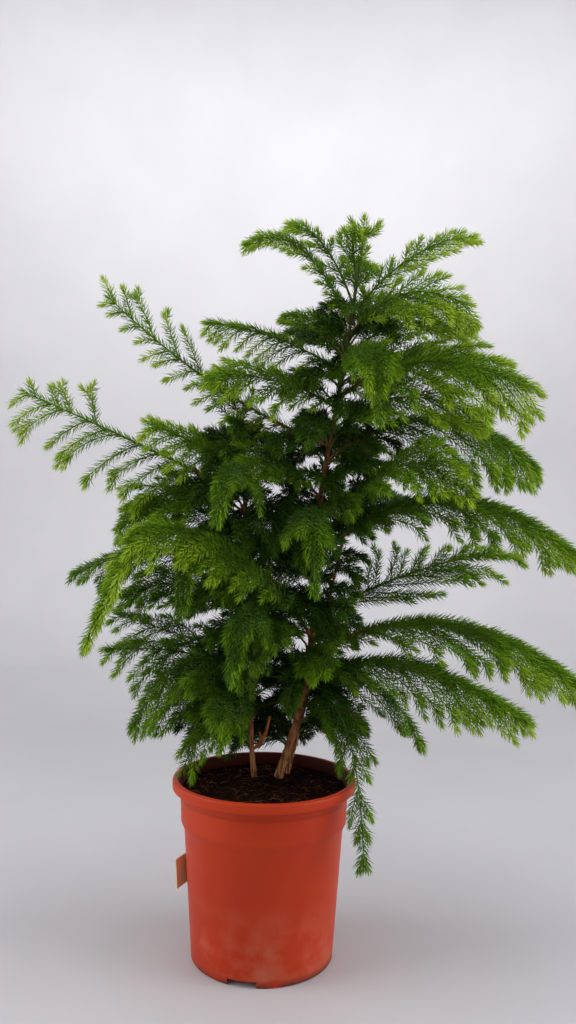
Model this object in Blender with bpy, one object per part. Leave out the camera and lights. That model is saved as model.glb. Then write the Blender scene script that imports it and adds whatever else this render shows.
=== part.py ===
# Norfolk Island pine in a round nursery pot: three stems, their main boughs, masses of needles, peat and pot.
# Metres, +Z up. The origin is the centre of the pot's underside, and the plant is seen from -Y.
import math
import random

import bmesh
import bpy
from mathutils import Matrix, Vector

# Fit between neighbouring pieces
CLEAR = 0.0003

# Pot
POT_HEIGHT = 0.2365
FOOT_RADIUS = 0.0942
WALL_TOP_RADIUS = 0.1055
SHOULDER_FOOT_RADIUS = 0.1100
SHOULDER_RADIUS = 0.1118
RIM_RADIUS = 0.1222
RIM_DEPTH = 0.0130
SHOULDER_DEPTH = 0.0665
SHOULDER_RISE = 0.0110
WALL_THICKNESS = 0.0022
FLOOR_HEIGHT = 0.0090
FLOOR_THICKNESS = 0.0030
FOOT_RING_WIDTH = 0.0060
HUB_RADIUS = 0.0140
HUB_DRAFT = 0.0030
EDGE_EASE = 0.0012
FOOT_EASE_HEIGHT = 0.0040
BAND_EASE = 0.0025
LIP_ROUND = 0.0036
LIP_WIDTH = 0.0068
LIP_FACE_DRAFT = 0.0004
POT_SEGMENTS = 30
NOTCH_COUNT = 3
NOTCH_FIRST_AZIMUTH = 256.0
NOTCH_WIDTH = 0.0380
NOTCH_INSIDE = 0.0102
NOTCH_OUTSIDE = 0.0054
NOTCH_HEIGHT = 0.0082

# Peat
PEAT_TOP = 0.2225
PEAT_SEGMENTS = 24
PEAT_INSET = 0.0012
PEAT_CROWN_SHARE = 0.80

# Plain card at the back left of the pot: it touches the wall near one edge and stands off towards the front
CARD_WIDTH = 0.0600
CARD_HEIGHT = 0.0390
CARD_THICKNESS = 0.0008
CARD_CENTRE_HEIGHT = 0.1055
CARD_AZIMUTH = 156.0
CARD_BEHIND_CONTACT = 0.0060

# Stems: waypoints are height, x and y, then the radius at the foot and at the tip
STEM_SIDES = 8
STEM_RING_SPACING = 0.045
FLARE = 0.35
FLARE_HEIGHT = 0.030
STEMS = {
    "stem_main": {
        "waypoints": [
            (0.2230, 0.0185, 0.040),
            (0.3300, 0.0500, 0.035),
            (0.4400, 0.0630, 0.030),
            (0.6000, 0.0690, 0.025),
            (0.7700, 0.0955, 0.020),
            (0.9750, 0.1250, 0.020),
        ],
        "foot_radius": 0.0068,
        "tip_radius": 0.0016,
    },
    "stem_left": {
        "waypoints": [
            (0.2230, -0.0150, 0.040),
            (0.3000, -0.0205, 0.038),
            (0.4700, -0.0155, 0.035),
            (0.5600, -0.0310, 0.035),
            (0.6600, -0.0370, 0.035),
            (0.7050, -0.0360, 0.035),
        ],
        "foot_radius": 0.0045,
        "tip_radius": 0.0017,
    },
    "stem_right": {
        "waypoints": [
            (0.2230, 0.0310, 0.058),
            (0.3300, 0.0560, 0.052),
            (0.4400, 0.0790, 0.045),
            (0.5400, 0.1000, 0.040),
            (0.6600, 0.1270, 0.035),
            (0.7250, 0.1370, 0.035),
        ],
        "foot_radius": 0.0035,
        "tip_radius": 0.0014,
    },
}

# Branches: stem, height of the foot, azimuth of the tip (0 right, 90 back), turn on the way to it, reach,
# rise of the tip above the foot, crown of the arch above the chord, longest branchlet, roll of the spray with
# its back row up, sag of the branchlets, and the bare share, which is 0 where the needles start at the stem
BRANCHES = {
    "top_left": ("stem_main", 0.873, 170, 15, 0.088, 0.112, 0.030, 0.040, 40, 0.10, 0.45, 0),
    "top_back": ("stem_main", 0.885, 75, -10, 0.110, 0.070, 0.018, 0.045, 20, 0.10, 0.45, 0),
    "top_front": ("stem_main", 0.905, 262, 12, 0.070, 0.045, 0.010, 0.036, 10, 0.10, 0.40, 0),
    "top_right": ("stem_main", 0.860, 5, 10, 0.168, 0.112, 0.026, 0.060, 45, 0.12, 0.40, 0),
    "crown_left": ("stem_main", 0.847, 190, -10, 0.143, 0.100, 0.046, 0.048, 40, 0.10, 0.45, 0),
    "crown_left_low": ("stem_main", 0.831, 152, 10, 0.100, 0.035, 0.010, 0.045, 35, 0.15, 0.55, 0),
    "crown_right": ("stem_main", 0.831, 338, 12, 0.160, 0.030, 0.034, 0.075, 50, 0.12, 0.40, 0),
    "crown_back_right": ("stem_main", 0.822, 40, -10, 0.170, 0.060, 0.030, 0.070, 25, 0.12, 0.45, 0),
    "crown_back": ("stem_main", 0.800, 105, -12, 0.190, 0.060, 0.030, 0.075, 15, 0.15, 0.55, 0),
    "high_left": ("stem_main", 0.782, 175, 12, 0.187, 0.068, 0.014, 0.068, 45, 0.25, 0.45, 0),
    "high_front": ("stem_main", 0.768, 284, -10, 0.180, -0.010, 0.040, 0.070, 0, 0.35, 0.55, 0),
    "high_back_right": ("stem_main", 0.765, 22, -12, 0.230, 0.030, 0.036, 0.085, 35, 0.20, 0.45, 0),
    "high_right": ("stem_main", 0.744, 335, 14, 0.252, 0.005, 0.040, 0.095, 50, 0.20, 0.38, 0.22),
    "high_front_left": ("stem_main", 0.732, 205, -12, 0.180, 0.030, 0.014, 0.066, 40, 0.15, 0.45, 0),
    "long_left": ("stem_main", 0.681, 185, 8, 0.300, 0.192, -0.020, 0.085, 60, 0.08, 0.30, 0.28),
    "long_right": ("stem_main", 0.660, 10, 10, 0.310, -0.002, 0.062, 0.095, 35, 0.50, 0.55, 0.24),
    "upper_back": ("stem_main", 0.655, 80, 10, 0.280, 0.035, 0.040, 0.095, 15, 0.20, 0.55, 0),
    "inner_left": ("stem_main", 0.610, 222, 14, 0.140, 0.030, 0.026, 0.070, 30, 0.25, 0.55, 0),
    "middle_right": ("stem_main", 0.532, 352, 12, 0.352, 0.003, 0.076, 0.095, 35, 0.45, 0.55, 0.24),
    "middle_front": ("stem_main", 0.545, 268, 10, 0.180, 0.020, 0.035, 0.065, 0, 0.30, 0.55, 0),
    "middle_back": ("stem_main", 0.505, 98, -10, 0.315, 0.015, 0.045, 0.095, 15, 0.20, 0.55, 0),
    "sweep_front_left": ("stem_main", 0.418, 212, -16, 0.325, -0.004, 0.098, 0.085, 40, 0.40, 0.55, 0.26),
    "low_right": ("stem_main", 0.393, 352, 10, 0.380, -0.040, 0.070, 0.100, 35, 0.40, 0.55, 0.22),
    "low_back_right": ("stem_main", 0.340, 25, 22, 0.195, -0.088, 0.052, 0.070, 35, 0.40, 0.55, 0),
    "rim_right": ("stem_main", 0.315, 300, -30, 0.160, -0.162, 0.082, 0.060, 30, 0.30, 0.55, 0),
    "leader_left": ("stem_left", 0.690, 130, 10, 0.060, 0.090, 0.010, 0.055, 20, 0.05, 0.40, 0),
    "arm_left": ("stem_left", 0.612, 185, -8, 0.300, 0.135, 0.002, 0.084, 50, 0.10, 0.40, 0.26),
    "arm_front_left": ("stem_left", 0.647, 210, 10, 0.135, 0.055, 0.004, 0.066, 40, 0.20, 0.40, 0),
    "arm_back": ("stem_left", 0.640, 112, 12, 0.235, 0.060, 0.030, 0.085, 15, 0.15, 0.55, 0),
    "shelf_left": ("stem_left", 0.586, 195, -10, 0.172, -0.024, 0.043, 0.070, 40, 0.20, 0.55, 0),
    "arm_front": ("stem_left", 0.600, 262, -12, 0.180, 0.040, 0.020, 0.070, 0, 0.25, 0.55, 0),
    "inner_front": ("stem_left", 0.520, 244, 12, 0.185, 0.010, 0.030, 0.070, 10, 0.25, 0.55, 0),
    "shelf_back_left": ("stem_left", 0.496, 163, 8, 0.280, 0.000, 0.036, 0.090, 40, 0.30, 0.55, 0),
    "inner_back": ("stem_left", 0.510, 120, 12, 0.245, 0.030, 0.036, 0.090, 15, 0.20, 0.55, 0),
    "low_front": ("stem_left", 0.425, 262, -12, 0.180, 0.015, 0.035, 0.065, 0, 0.35, 0.55, 0),
    "low_back_left": ("stem_left", 0.399, 158, 10, 0.225, 0.040, -0.010, 0.080, 40, 0.25, 0.55, 0),
    "low_back": ("stem_left", 0.385, 100, 10, 0.265, -0.020, 0.040, 0.085, 15, 0.30, 0.55, 0),
    "low_left": ("stem_left", 0.370, 190, 8, 0.198, 0.032, 0.010, 0.070, 45, 0.30, 0.55, 0),
    "skirt_left": ("stem_left", 0.335, 195, -10, 0.165, -0.040, 0.075, 0.065, 40, 0.40, 0.55, 0),
    "rim_left": ("stem_left", 0.305, 172, 10, 0.146, -0.012, 0.032, 0.055, 40, 0.40, 0.55, 0),
    "rim_front_left": ("stem_left", 0.290, 217, -12, 0.112, -0.045, 0.050, 0.050, 35, 0.40, 0.55, 0),
    "leader_right": ("stem_right", 0.715, 20, 25, 0.045, 0.085, 0.005, 0.045, 20, 0.05, 0.40, 0),
    "side_front_right": ("stem_right", 0.590, 310, 12, 0.210, 0.022, 0.050, 0.075, 40, 0.20, 0.55, 0),
    "side_back_right": ("stem_right", 0.560, 58, -10, 0.275, 0.030, 0.040, 0.085, 20, 0.20, 0.55, 0),
    "fan_right": ("stem_right", 0.452, 20, -8, 0.320, 0.042, 0.030, 0.095, 50, 0.05, 0.42, 0.20),
    "side_low_right": ("stem_right", 0.367, 331, 10, 0.300, -0.028, 0.038, 0.090, 40, 0.40, 0.55, 0),
}

# Branch section: thick at the stem and thin at the tip
BOUGH_FOOT_RADIUS = 0.0026
NEEDLE_STEM_RADIUS = 0.0017
BRANCH_TIP_RADIUS = 0.0007
BOUGH_SIDES = 5
STALK_SIDES = 4
STEP_ALONG = 0.055

# Sprays of needles on a mass: toothed blades in two rows, and one at the tip
BLADE_SPACING = 0.040
FIRST_BLADE = 0.035
FIRST_ON_BOUGH = 0.020
LAST_BLADE_GAP = 0.006
ROW_OFFSET = 0.22
PLACE_JITTER = 0.008
BLADE_HALF_WIDTH = 0.0120
BLADE_NECK = 0.0026
BLADE_RIDGE = 0.0016
BLADE_WIDEST_SHARE = 0.30
BLADE_POINT = 0.6
TOOTH_FORWARD = 0.0048
TOOTH_SHRINK = 0.12
RIDGE_FADE = 0.5
BLADE_LONG = 0.080
BLADE_SHORTEST = 0.020
PROBE_SHARES = (0.35, 0.6, 0.85)
TIP_BLADE = 0.036
TIP_SUNK = 0.0010
SPREAD_AT_FOOT = 62.0
SPREAD_AT_TIP = 38.0
SPREAD_JITTER = 6.0
SAG_AT_FOOT = 0.6
SAG_GROWTH = 0.8
SAG_JITTER = 0.08
LENGTH_LEAST = 0.90
LENGTH_MOST = 1.08
PROFILE_START = 0.16
PROFILE_RISE = 0.42
PROFILE_GAIN = 1.22
LINE_STEP = 0.008
LINE_START = 0.004
REACH_OF_NEIGHBOURS = 0.09
SPACE_MARGIN = 0.0035
RIM_MARGIN = 0.0040
TRIM_STEPS = (1.0, 0.82, 0.66, 0.5, 0.36)
SEED = 41


def material(name, colour, roughness, metallic=0.0):
    made = bpy.data.materials.new(name)
    made.use_nodes = True
    shader = made.node_tree.nodes["Principled BSDF"]
    shader.inputs["Base Color"].default_value = (*colour, 1.0)
    shader.inputs["Roughness"].default_value = roughness
    shader.inputs["Metallic"].default_value = metallic
    return made


def add_object(name, mesh_data, finish):
    mesh = bpy.data.meshes.new(name)
    mesh_data.to_mesh(mesh)
    mesh_data.free()
    mesh.materials.append(finish)
    made = bpy.data.objects.new(name, mesh)
    bpy.context.collection.objects.link(made)
    return made


def apply_boolean(target, operation, cutter=None, collection=None):
    cut = target.modifiers.new("join", "BOOLEAN")
    cut.operation = operation
    cut.solver = "EXACT"
    if collection:
        cut.operand_type = "COLLECTION"
        cut.collection = collection
    else:
        cut.object = cutter
    depsgraph = bpy.context.evaluated_depsgraph_get()
    joined = bpy.data.meshes.new_from_object(target.evaluated_get(depsgraph))
    target.modifiers.remove(cut)
    target.data = joined


def face_outwards(bm):
    bmesh.ops.recalc_face_normals(bm, faces=bm.faces)
    if bm.calc_volume(signed=True) < 0:
        bmesh.ops.reverse_faces(bm, faces=bm.faces)


def keep_largest_shell(target):
    # A hollow sealed by the union is filled and a loose scrap dropped, so one closed surface is left
    bm = bmesh.new()
    bm.from_mesh(target.data)
    left = set(bm.verts)
    shells = []
    while left:
        shell = set()
        front = [left.pop()]
        while front:
            vertex = front.pop()
            shell.add(vertex)
            for edge in vertex.link_edges:
                other = edge.other_vert(vertex)
                if other in left:
                    left.remove(other)
                    front.append(other)
        shells.append(shell)
    shells.sort(key=len)
    scrap = [vertex for shell in shells[:-1] for vertex in shell]
    bmesh.ops.delete(bm, geom=scrap, context="VERTS")
    bm.to_mesh(target.data)
    bm.free()


def turned(profile, segments):
    # A closed profile of radius and height, turned about the Z axis
    bm = bmesh.new()
    rings = []
    for radius, height in profile:
        ring = []
        for i in range(segments):
            angle = 2 * math.pi * i / segments
            ring.append(bm.verts.new((radius * math.cos(angle), radius * math.sin(angle), height)))
        rings.append(ring)
    return bm, rings


def bridge(bm, lower, upper):
    count = len(lower)
    for i in range(count):
        j = (i + 1) % count
        bm.faces.new((lower[i], lower[j], upper[j], upper[i]))


def wall_slope():
    return (WALL_TOP_RADIUS - FOOT_RADIUS) / (POT_HEIGHT - SHOULDER_DEPTH)


def wall_radius(height):
    # Outside of the tapered wall, below the shoulder
    return FOOT_RADIUS + wall_slope() * height


def make_pot(finish):
    lip_bottom = POT_HEIGHT - RIM_DEPTH
    shoulder_bottom = POT_HEIGHT - SHOULDER_DEPTH
    inner_foot = FOOT_RADIUS - FOOT_RING_WIDTH
    floor_top = FLOOR_HEIGHT + FLOOR_THICKNESS
    profile = [
        (HUB_RADIUS, 0.0),
        (HUB_RADIUS + HUB_DRAFT, FLOOR_HEIGHT),
        (inner_foot - EDGE_EASE, FLOOR_HEIGHT),
        (inner_foot, 0.0),
        (FOOT_RADIUS - EDGE_EASE, 0.0),
        (wall_radius(FOOT_EASE_HEIGHT), FOOT_EASE_HEIGHT),
        (WALL_TOP_RADIUS, shoulder_bottom),
        (SHOULDER_FOOT_RADIUS, shoulder_bottom + SHOULDER_RISE),
        (SHOULDER_RADIUS, lip_bottom),
        (RIM_RADIUS - EDGE_EASE, lip_bottom),
        (RIM_RADIUS, lip_bottom + BAND_EASE),
        (RIM_RADIUS - LIP_FACE_DRAFT, POT_HEIGHT - LIP_ROUND),
        (RIM_RADIUS - LIP_ROUND, POT_HEIGHT),
        (RIM_RADIUS - LIP_WIDTH, POT_HEIGHT - EDGE_EASE),
        (SHOULDER_RADIUS - WALL_THICKNESS, lip_bottom - EDGE_EASE),
        (SHOULDER_FOOT_RADIUS - WALL_THICKNESS, shoulder_bottom + SHOULDER_RISE - EDGE_EASE),
        (WALL_TOP_RADIUS - WALL_THICKNESS, shoulder_bottom - EDGE_EASE),
        (FOOT_RADIUS - WALL_THICKNESS, floor_top),
    ]
    bm, rings = turned(profile, POT_SEGMENTS)
    for lower, upper in zip(rings, rings[1:]):
        bridge(bm, lower, upper)
    bm.faces.new(reversed(rings[0]))
    bm.faces.new(rings[-1])
    face_outwards(bm)
    pot = add_object("pot", bm, finish)
    for i in range(NOTCH_COUNT):
        azimuth = math.radians(NOTCH_FIRST_AZIMUTH + 360.0 * i / NOTCH_COUNT)
        cutter = make_notch_cutter(azimuth, finish)
        apply_boolean(pot, "DIFFERENCE", cutter=cutter)
        bpy.data.objects.remove(cutter)
    return pot


def make_notch_cutter(azimuth, finish):
    # A block through the foot ring, from inside the ring to outside the wall
    bm = bmesh.new()
    bmesh.ops.create_cube(bm, size=1.0)
    scale = Matrix.Diagonal((NOTCH_INSIDE + NOTCH_OUTSIDE, NOTCH_WIDTH, NOTCH_HEIGHT * 2, 1.0))
    place = Matrix.Translation((FOOT_RADIUS + (NOTCH_OUTSIDE - NOTCH_INSIDE) / 2, 0, 0))
    turn = Matrix.Rotation(azimuth, 4, "Z")
    bm.transform(turn @ place @ scale)
    return add_object("notch", bm, finish)


def make_peat(finish):
    # Soil that follows the inside of the pot, with a flat top a little below the lip
    floor_top = FLOOR_HEIGHT + FLOOR_THICKNESS
    shoulder_bottom = POT_HEIGHT - SHOULDER_DEPTH
    inset = WALL_THICKNESS + PEAT_INSET
    profile = [
        (FOOT_RADIUS - inset, floor_top + CLEAR),
        (WALL_TOP_RADIUS - inset, shoulder_bottom - EDGE_EASE),
        (SHOULDER_FOOT_RADIUS - inset, shoulder_bottom + SHOULDER_RISE - EDGE_EASE),
        (SHOULDER_RADIUS - inset, PEAT_TOP - PEAT_INSET),
        (SHOULDER_RADIUS * PEAT_CROWN_SHARE, PEAT_TOP),
    ]
    bm, rings = turned(profile, PEAT_SEGMENTS)
    for lower, upper in zip(rings, rings[1:]):
        bridge(bm, lower, upper)
    bm.faces.new(reversed(rings[0]))
    bm.faces.new(rings[-1])
    face_outwards(bm)
    return add_object("peat", bm, finish)


def make_card(finish):
    bm = bmesh.new()
    bmesh.ops.create_cube(bm, size=1.0)
    scale = Matrix.Diagonal((CARD_WIDTH, CARD_THICKNESS, CARD_HEIGHT, 1.0))
    lean = Matrix.Rotation(-math.atan(wall_slope()), 4, "X")
    forward = CARD_WIDTH / 2 - CARD_BEHIND_CONTACT
    outward = wall_radius(CARD_CENTRE_HEIGHT) + CARD_THICKNESS / 2 + CLEAR
    place = Matrix.Translation((-forward, outward, CARD_CENTRE_HEIGHT))
    turn = Matrix.Rotation(math.radians(CARD_AZIMUTH - 90), 4, "Z")
    bm.transform(turn @ place @ lean @ scale)
    return add_object("card", bm, finish)


def smooth_path(waypoints, spacing):
    # A Catmull-Rom curve through the waypoints, as points about one spacing apart
    knots = [Vector((x, y, z)) for z, x, y in waypoints]
    knots = [knots[0] * 2 - knots[1]] + knots + [knots[-1] * 2 - knots[-2]]
    points = []
    for a, b, c, d in zip(knots, knots[1:], knots[2:], knots[3:]):
        steps = max(1, round((c - b).length / spacing))
        for i in range(steps):
            t = i / steps
            bend = (a * 2 - b * 5 + c * 4 - d) * t * t + (b * 3 - a - c * 3 + d) * t ** 3
            points.append((b * 2 + (c - a) * t + bend) / 2)
    points.append(knots[-2])
    return points


def frame_of(tangent):
    # The tangent, a level side vector and the vector square to both
    side = tangent.cross(Vector((0, 0, 1))).normalized()
    return tangent, side, side.cross(tangent)


def upright_frames(points):
    # The same along a stem, with the side vector towards +X
    frames = []
    for i in range(len(points)):
        before = points[max(0, i - 1)]
        after = points[min(len(points) - 1, i + 1)]
        tangent = (after - before).normalized()
        side = (Vector((1, 0, 0)) - tangent * tangent.x).normalized()
        frames.append((tangent, side, tangent.cross(side)))
    return frames


def tube(bm, points, radii, sides, frames):
    rings = []
    for point, radius, (tangent, side, up) in zip(points, radii, frames):
        ring = []
        for k in range(sides):
            angle = 2 * math.pi * (k + 0.5) / sides
            ring.append(bm.verts.new(point + (side * math.cos(angle) + up * math.sin(angle)) * radius))
        rings.append(ring)
    for lower, upper in zip(rings, rings[1:]):
        bridge(bm, lower, upper)
    bm.faces.new(reversed(rings[0]))
    bm.faces.new(rings[-1])
    face_outwards(bm)


class Stem:
    def __init__(self, name):
        spec = STEMS[name]
        self.name = name
        self.points = smooth_path(spec["waypoints"], STEM_RING_SPACING)
        self.foot = spec["foot_radius"]
        self.tip = spec["tip_radius"]
        self.low = self.points[0].z
        self.high = self.points[-1].z

    def radius(self, height):
        share = (height - self.low) / (self.high - self.low)
        straight = self.foot + (self.tip - self.foot) * share
        above = min(1.0, (height - self.low) / FLARE_HEIGHT)
        return straight * (1 + FLARE * (1 - above) ** 2)

    def at(self, height):
        for a, b in zip(self.points, self.points[1:]):
            if height <= b.z:
                t = (height - a.z) / (b.z - a.z)
                return a.lerp(b, t), (b - a).normalized()
        return self.points[-1], (self.points[-1] - self.points[-2]).normalized()

    def make(self, finish):
        bm = bmesh.new()
        frames = upright_frames(self.points)
        frames[0] = (Vector((0, 0, 1)), Vector((1, 0, 0)), Vector((0, 1, 0)))
        radii = [self.radius(point.z) for point in self.points]
        tube(bm, self.points, radii, STEM_SIDES, frames)
        return add_object(self.name, bm, finish)


class Branch:
    def __init__(self, name, stems):
        stem, height, azimuth, turn, reach, rise, arch, branchlet, roll, sag, taper, bare = BRANCHES[name]
        self.name = name
        self.stem = stems[stem]
        self.azimuth = math.radians(azimuth)
        self.turn = math.radians(turn)
        self.reach = reach
        self.rise = rise
        self.arch = arch
        self.branchlet = branchlet
        self.roll = math.radians(roll)
        self.sag = sag
        self.taper = taper
        self.bare = bare
        self.axis_point, stem_tangent = self.stem.at(height)
        first = self.along(0.02) - self.along(0.0)
        out = first - stem_tangent * first.dot(stem_tangent)
        self.out = out.normalized()
        self.stem_tangent = stem_tangent
        self.start = self.axis_point + self.out * (self.stem.radius(height) + CLEAR)
        self.length = self.measure()
        back_row = (self.along(1.0) - self.along(0.0)).cross(Vector((0, 0, 1)))
        self.back_row = back_row if back_row.y > 0 else -back_row

    def along(self, share):
        # The point on the branch's curve, measured from the stem's axis
        angle = self.azimuth - self.turn * (1 - share)
        level = self.reach * share
        lift = self.rise * share + 4 * self.arch * share * (1 - share)
        return self.axis_point + Vector((level * math.cos(angle), level * math.sin(angle), lift))

    def tangent(self, share):
        return (self.along(share + 0.01) - self.along(share - 0.01)).normalized()

    def measure(self):
        steps = 40
        points = [self.along(i / steps) for i in range(steps + 1)]
        return sum((b - a).length for a, b in zip(points, points[1:]))

    def radius(self, share):
        thick = BOUGH_FOOT_RADIUS if self.bare else NEEDLE_STEM_RADIUS
        return thick + (BRANCH_TIP_RADIUS - thick) * share

    def stretch(self, low, high):
        # Points and frames from one share to another; the first ring at the stem lies along the stem
        steps = max(2, round(self.length * (high - low) / STEP_ALONG))
        shares = [low + (high - low) * i / steps for i in range(steps + 1)]
        points = [self.along(share) for share in shares]
        frames = [frame_of(self.tangent(share)) for share in shares]
        if low == 0:
            points[0] = self.start
            side = self.out.cross(self.stem_tangent).normalized()
            frames[0] = (self.out, side, side.cross(self.out))
        return shares, points, frames

    def rolled(self, tangent):
        # The frame of the spray's plane: its side vector points along the back row of branchlets
        level = tangent.cross(Vector((0, 0, 1))).normalized()
        if level.dot(self.back_row) < 0:
            level = -level
        up = level.cross(tangent)
        if up.z < 0:
            up = -up
        side = level * math.cos(self.roll) + up * math.sin(self.roll)
        return tangent, side, side.cross(tangent)


def make_bough(branch, finish):
    shares, points, frames = branch.stretch(0, branch.bare)
    bm = bmesh.new()
    tube(bm, points, [branch.radius(share) for share in shares], BOUGH_SIDES, frames)
    return add_object("bough_" + branch.name, bm, finish)


def blade(bm, root, direction, normal, length):
    # A spray of needles: a blade with a ridged back, forward teeth on both edges and pointed ends
    side = direction.cross(normal).normalized()
    teeth = 3 if length > BLADE_LONG else 2
    half = min(BLADE_HALF_WIDTH, length * BLADE_WIDEST_SHARE)
    base = bm.verts.new(root)
    tip = bm.verts.new(root + direction * length)
    ridge = []
    tooth = {-1: [], 1: []}
    notch = {-1: [], 1: []}
    for i in range(teeth):
        reach = length * (i + 1) / (teeth + BLADE_POINT)
        fade = 1 - RIDGE_FADE * i / teeth
        ridge.append(bm.verts.new(root + direction * reach + normal * BLADE_RIDGE * fade))
        for sign in (-1, 1):
            point = root + direction * (reach + TOOTH_FORWARD) + side * sign * half * (1 - TOOTH_SHRINK * i)
            tooth[sign].append(bm.verts.new(point))
            notch[sign].append(bm.verts.new(root + direction * reach + side * sign * BLADE_NECK * fade))
    for sign in (-1, 1):
        bm.faces.new((base, tooth[sign][0], ridge[0]))
        bm.faces.new((ridge[0], tooth[sign][0], notch[sign][0]))
        bm.faces.new((base, tooth[sign][0], notch[sign][0]))
        for i in range(1, teeth):
            bm.faces.new((ridge[i - 1], notch[sign][i - 1], tooth[sign][i]))
            bm.faces.new((ridge[i - 1], tooth[sign][i], ridge[i]))
            bm.faces.new((ridge[i], tooth[sign][i], notch[sign][i]))
            bm.faces.new((notch[sign][i - 1], tooth[sign][i], notch[sign][i]))
        bm.faces.new((ridge[-1], notch[sign][-1], tip))
    bm.faces.new((base, notch[-1][0], notch[1][0]))
    for i in range(1, teeth):
        bm.faces.new((notch[-1][i - 1], notch[-1][i], notch[1][i - 1]))
        bm.faces.new((notch[1][i - 1], notch[-1][i], notch[1][i]))
    bm.faces.new((notch[-1][-1], notch[1][-1], tip))
    face_outwards(bm)


def blade_probe(root, direction, normal, length):
    side = direction.cross(normal).normalized()
    probes = [root + direction * length]
    for share in PROBE_SHARES:
        for sign in (-1, 0, 1):
            probes.append(root + direction * length * share + side * sign * BLADE_HALF_WIDTH)
    return probes


class Space:
    # Each mass keeps to the points that are nearer to its own axis than to any other limb
    def __init__(self, stems, branches):
        self.lines = {}
        for stem in stems.values():
            axis = smooth_path(STEMS[stem.name]["waypoints"], LINE_STEP)
            self.lines[stem.name] = [(point, stem.radius(point.z)) for point in axis]
        for branch in branches:
            steps = round(branch.length / LINE_STEP)
            line = []
            for i in range(steps + 1):
                point = branch.along(i / steps)
                if (point - branch.axis_point).length > LINE_START:
                    line.append((point, 0.0))
            self.lines[branch.name] = line

    def distance(self, name, point):
        return min((point - q).length - r for q, r in self.lines[name])

    def near(self, name, point, within):
        return [other for other in self.lines if other != name and self.distance(other, point) < within]

    def holds(self, name, probes, others):
        for point in probes:
            if point.z < POT_HEIGHT + RIM_MARGIN and math.hypot(point.x, point.y) < RIM_RADIUS + RIM_MARGIN:
                return False
            own = self.distance(name, point)
            for other in others:
                if self.distance(other, point) < own + SPACE_MARGIN:
                    return False
        return True


def on_stalk(shares, points, share):
    # The point of the stalk's own axis, which runs straight between its rings
    for low, high, a, b in zip(shares, shares[1:], points, points[1:]):
        if share <= high:
            return a.lerp(b, (share - low) / (high - low))
    return points[-1]


def profile(share, taper):
    # Length of a branchlet at a share of the branch, against the longest
    return min(1.0, (share + PROFILE_START) / PROFILE_RISE) * min(1.0, PROFILE_GAIN * (1 - share) ** taper)


def make_needles(branch, space, finish):
    rng = random.Random(SEED * 1000 + sum(ord(letter) for letter in branch.name))
    low = branch.bare
    high = 1.0 - TIP_BLADE / branch.length
    shares, points, frames = branch.stretch(low, high)
    if low:
        points[0] += frames[0][0] * CLEAR
    bm = bmesh.new()
    rolled = [branch.rolled(tangent) for tangent, side, up in frames]
    if not low:
        out, side, up = frames[0]
        turn = 1 if side.dot(rolled[1][1]) > 0 else -1
        rolled[0] = (out, side * turn, up * turn)
    tube(bm, points, [branch.radius(share) for share in shares], STALK_SIDES, rolled)
    stalk = add_object("needles_" + branch.name, bm, finish)
    group = bpy.data.collections.new("sprays_" + branch.name)
    bpy.context.scene.collection.children.link(group)
    first = max(low + FIRST_ON_BOUGH / branch.length, FIRST_BLADE / branch.length)
    last = high - LAST_BLADE_GAP / branch.length
    count = max(3, round(branch.length * (last - first) / BLADE_SPACING))
    places = [first + (last - first) * i / (count - 1) for i in range(count)]
    sides = [(share, sign) for share in places for sign in (-1, 1)]
    for share, sign in sides:
        share += sign * ROW_OFFSET * BLADE_SPACING / branch.length + rng.uniform(-PLACE_JITTER, PLACE_JITTER)
        share = min(last, share)
        root = on_stalk(shares, points, share)
        tangent = branch.tangent(share)
        across = branch.rolled(tangent)[1] * sign
        spread = SPREAD_AT_FOOT + (SPREAD_AT_TIP - SPREAD_AT_FOOT) * share
        spread = math.radians(spread + rng.uniform(-SPREAD_JITTER, SPREAD_JITTER))
        direction = tangent * math.cos(spread) + across * math.sin(spread)
        sag = branch.sag * (SAG_AT_FOOT + SAG_GROWTH * share)
        direction.z += rng.uniform(-SAG_JITTER, SAG_JITTER) - sag
        direction.normalize()
        normal = direction.cross(tangent * sign).normalized()
        normal = (normal if normal.z > 0 else -normal)
        wanted = branch.branchlet * profile(share, branch.taper) * rng.uniform(LENGTH_LEAST, LENGTH_MOST)
        others = space.near(branch.name, root, wanted + REACH_OF_NEIGHBOURS)
        for trim in TRIM_STEPS:
            length = wanted * trim
            if length < BLADE_SHORTEST:
                break
            if space.holds(branch.name, blade_probe(root, direction, normal, length), others):
                add_blade(group, finish, root, direction, normal, length)
                break
    tip = branch.along(1.0)
    tip_direction = (tip - points[-1]).normalized()
    tip_root = points[-1] - tip_direction * TIP_SUNK
    add_blade(group, finish, tip_root, tip_direction, rolled[-1][2], (tip - tip_root).length)
    apply_boolean(stalk, "UNION", collection=group)
    keep_largest_shell(stalk)
    for made in list(group.objects):
        bpy.data.objects.remove(made)
    bpy.data.collections.remove(group)
    return stalk


def add_blade(group, finish, root, direction, normal, length):
    bm = bmesh.new()
    blade(bm, root, direction, normal, length)
    mesh = bpy.data.meshes.new("spray")
    bm.to_mesh(mesh)
    bm.free()
    mesh.materials.append(finish)
    made = bpy.data.objects.new("spray", mesh)
    group.objects.link(made)


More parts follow.
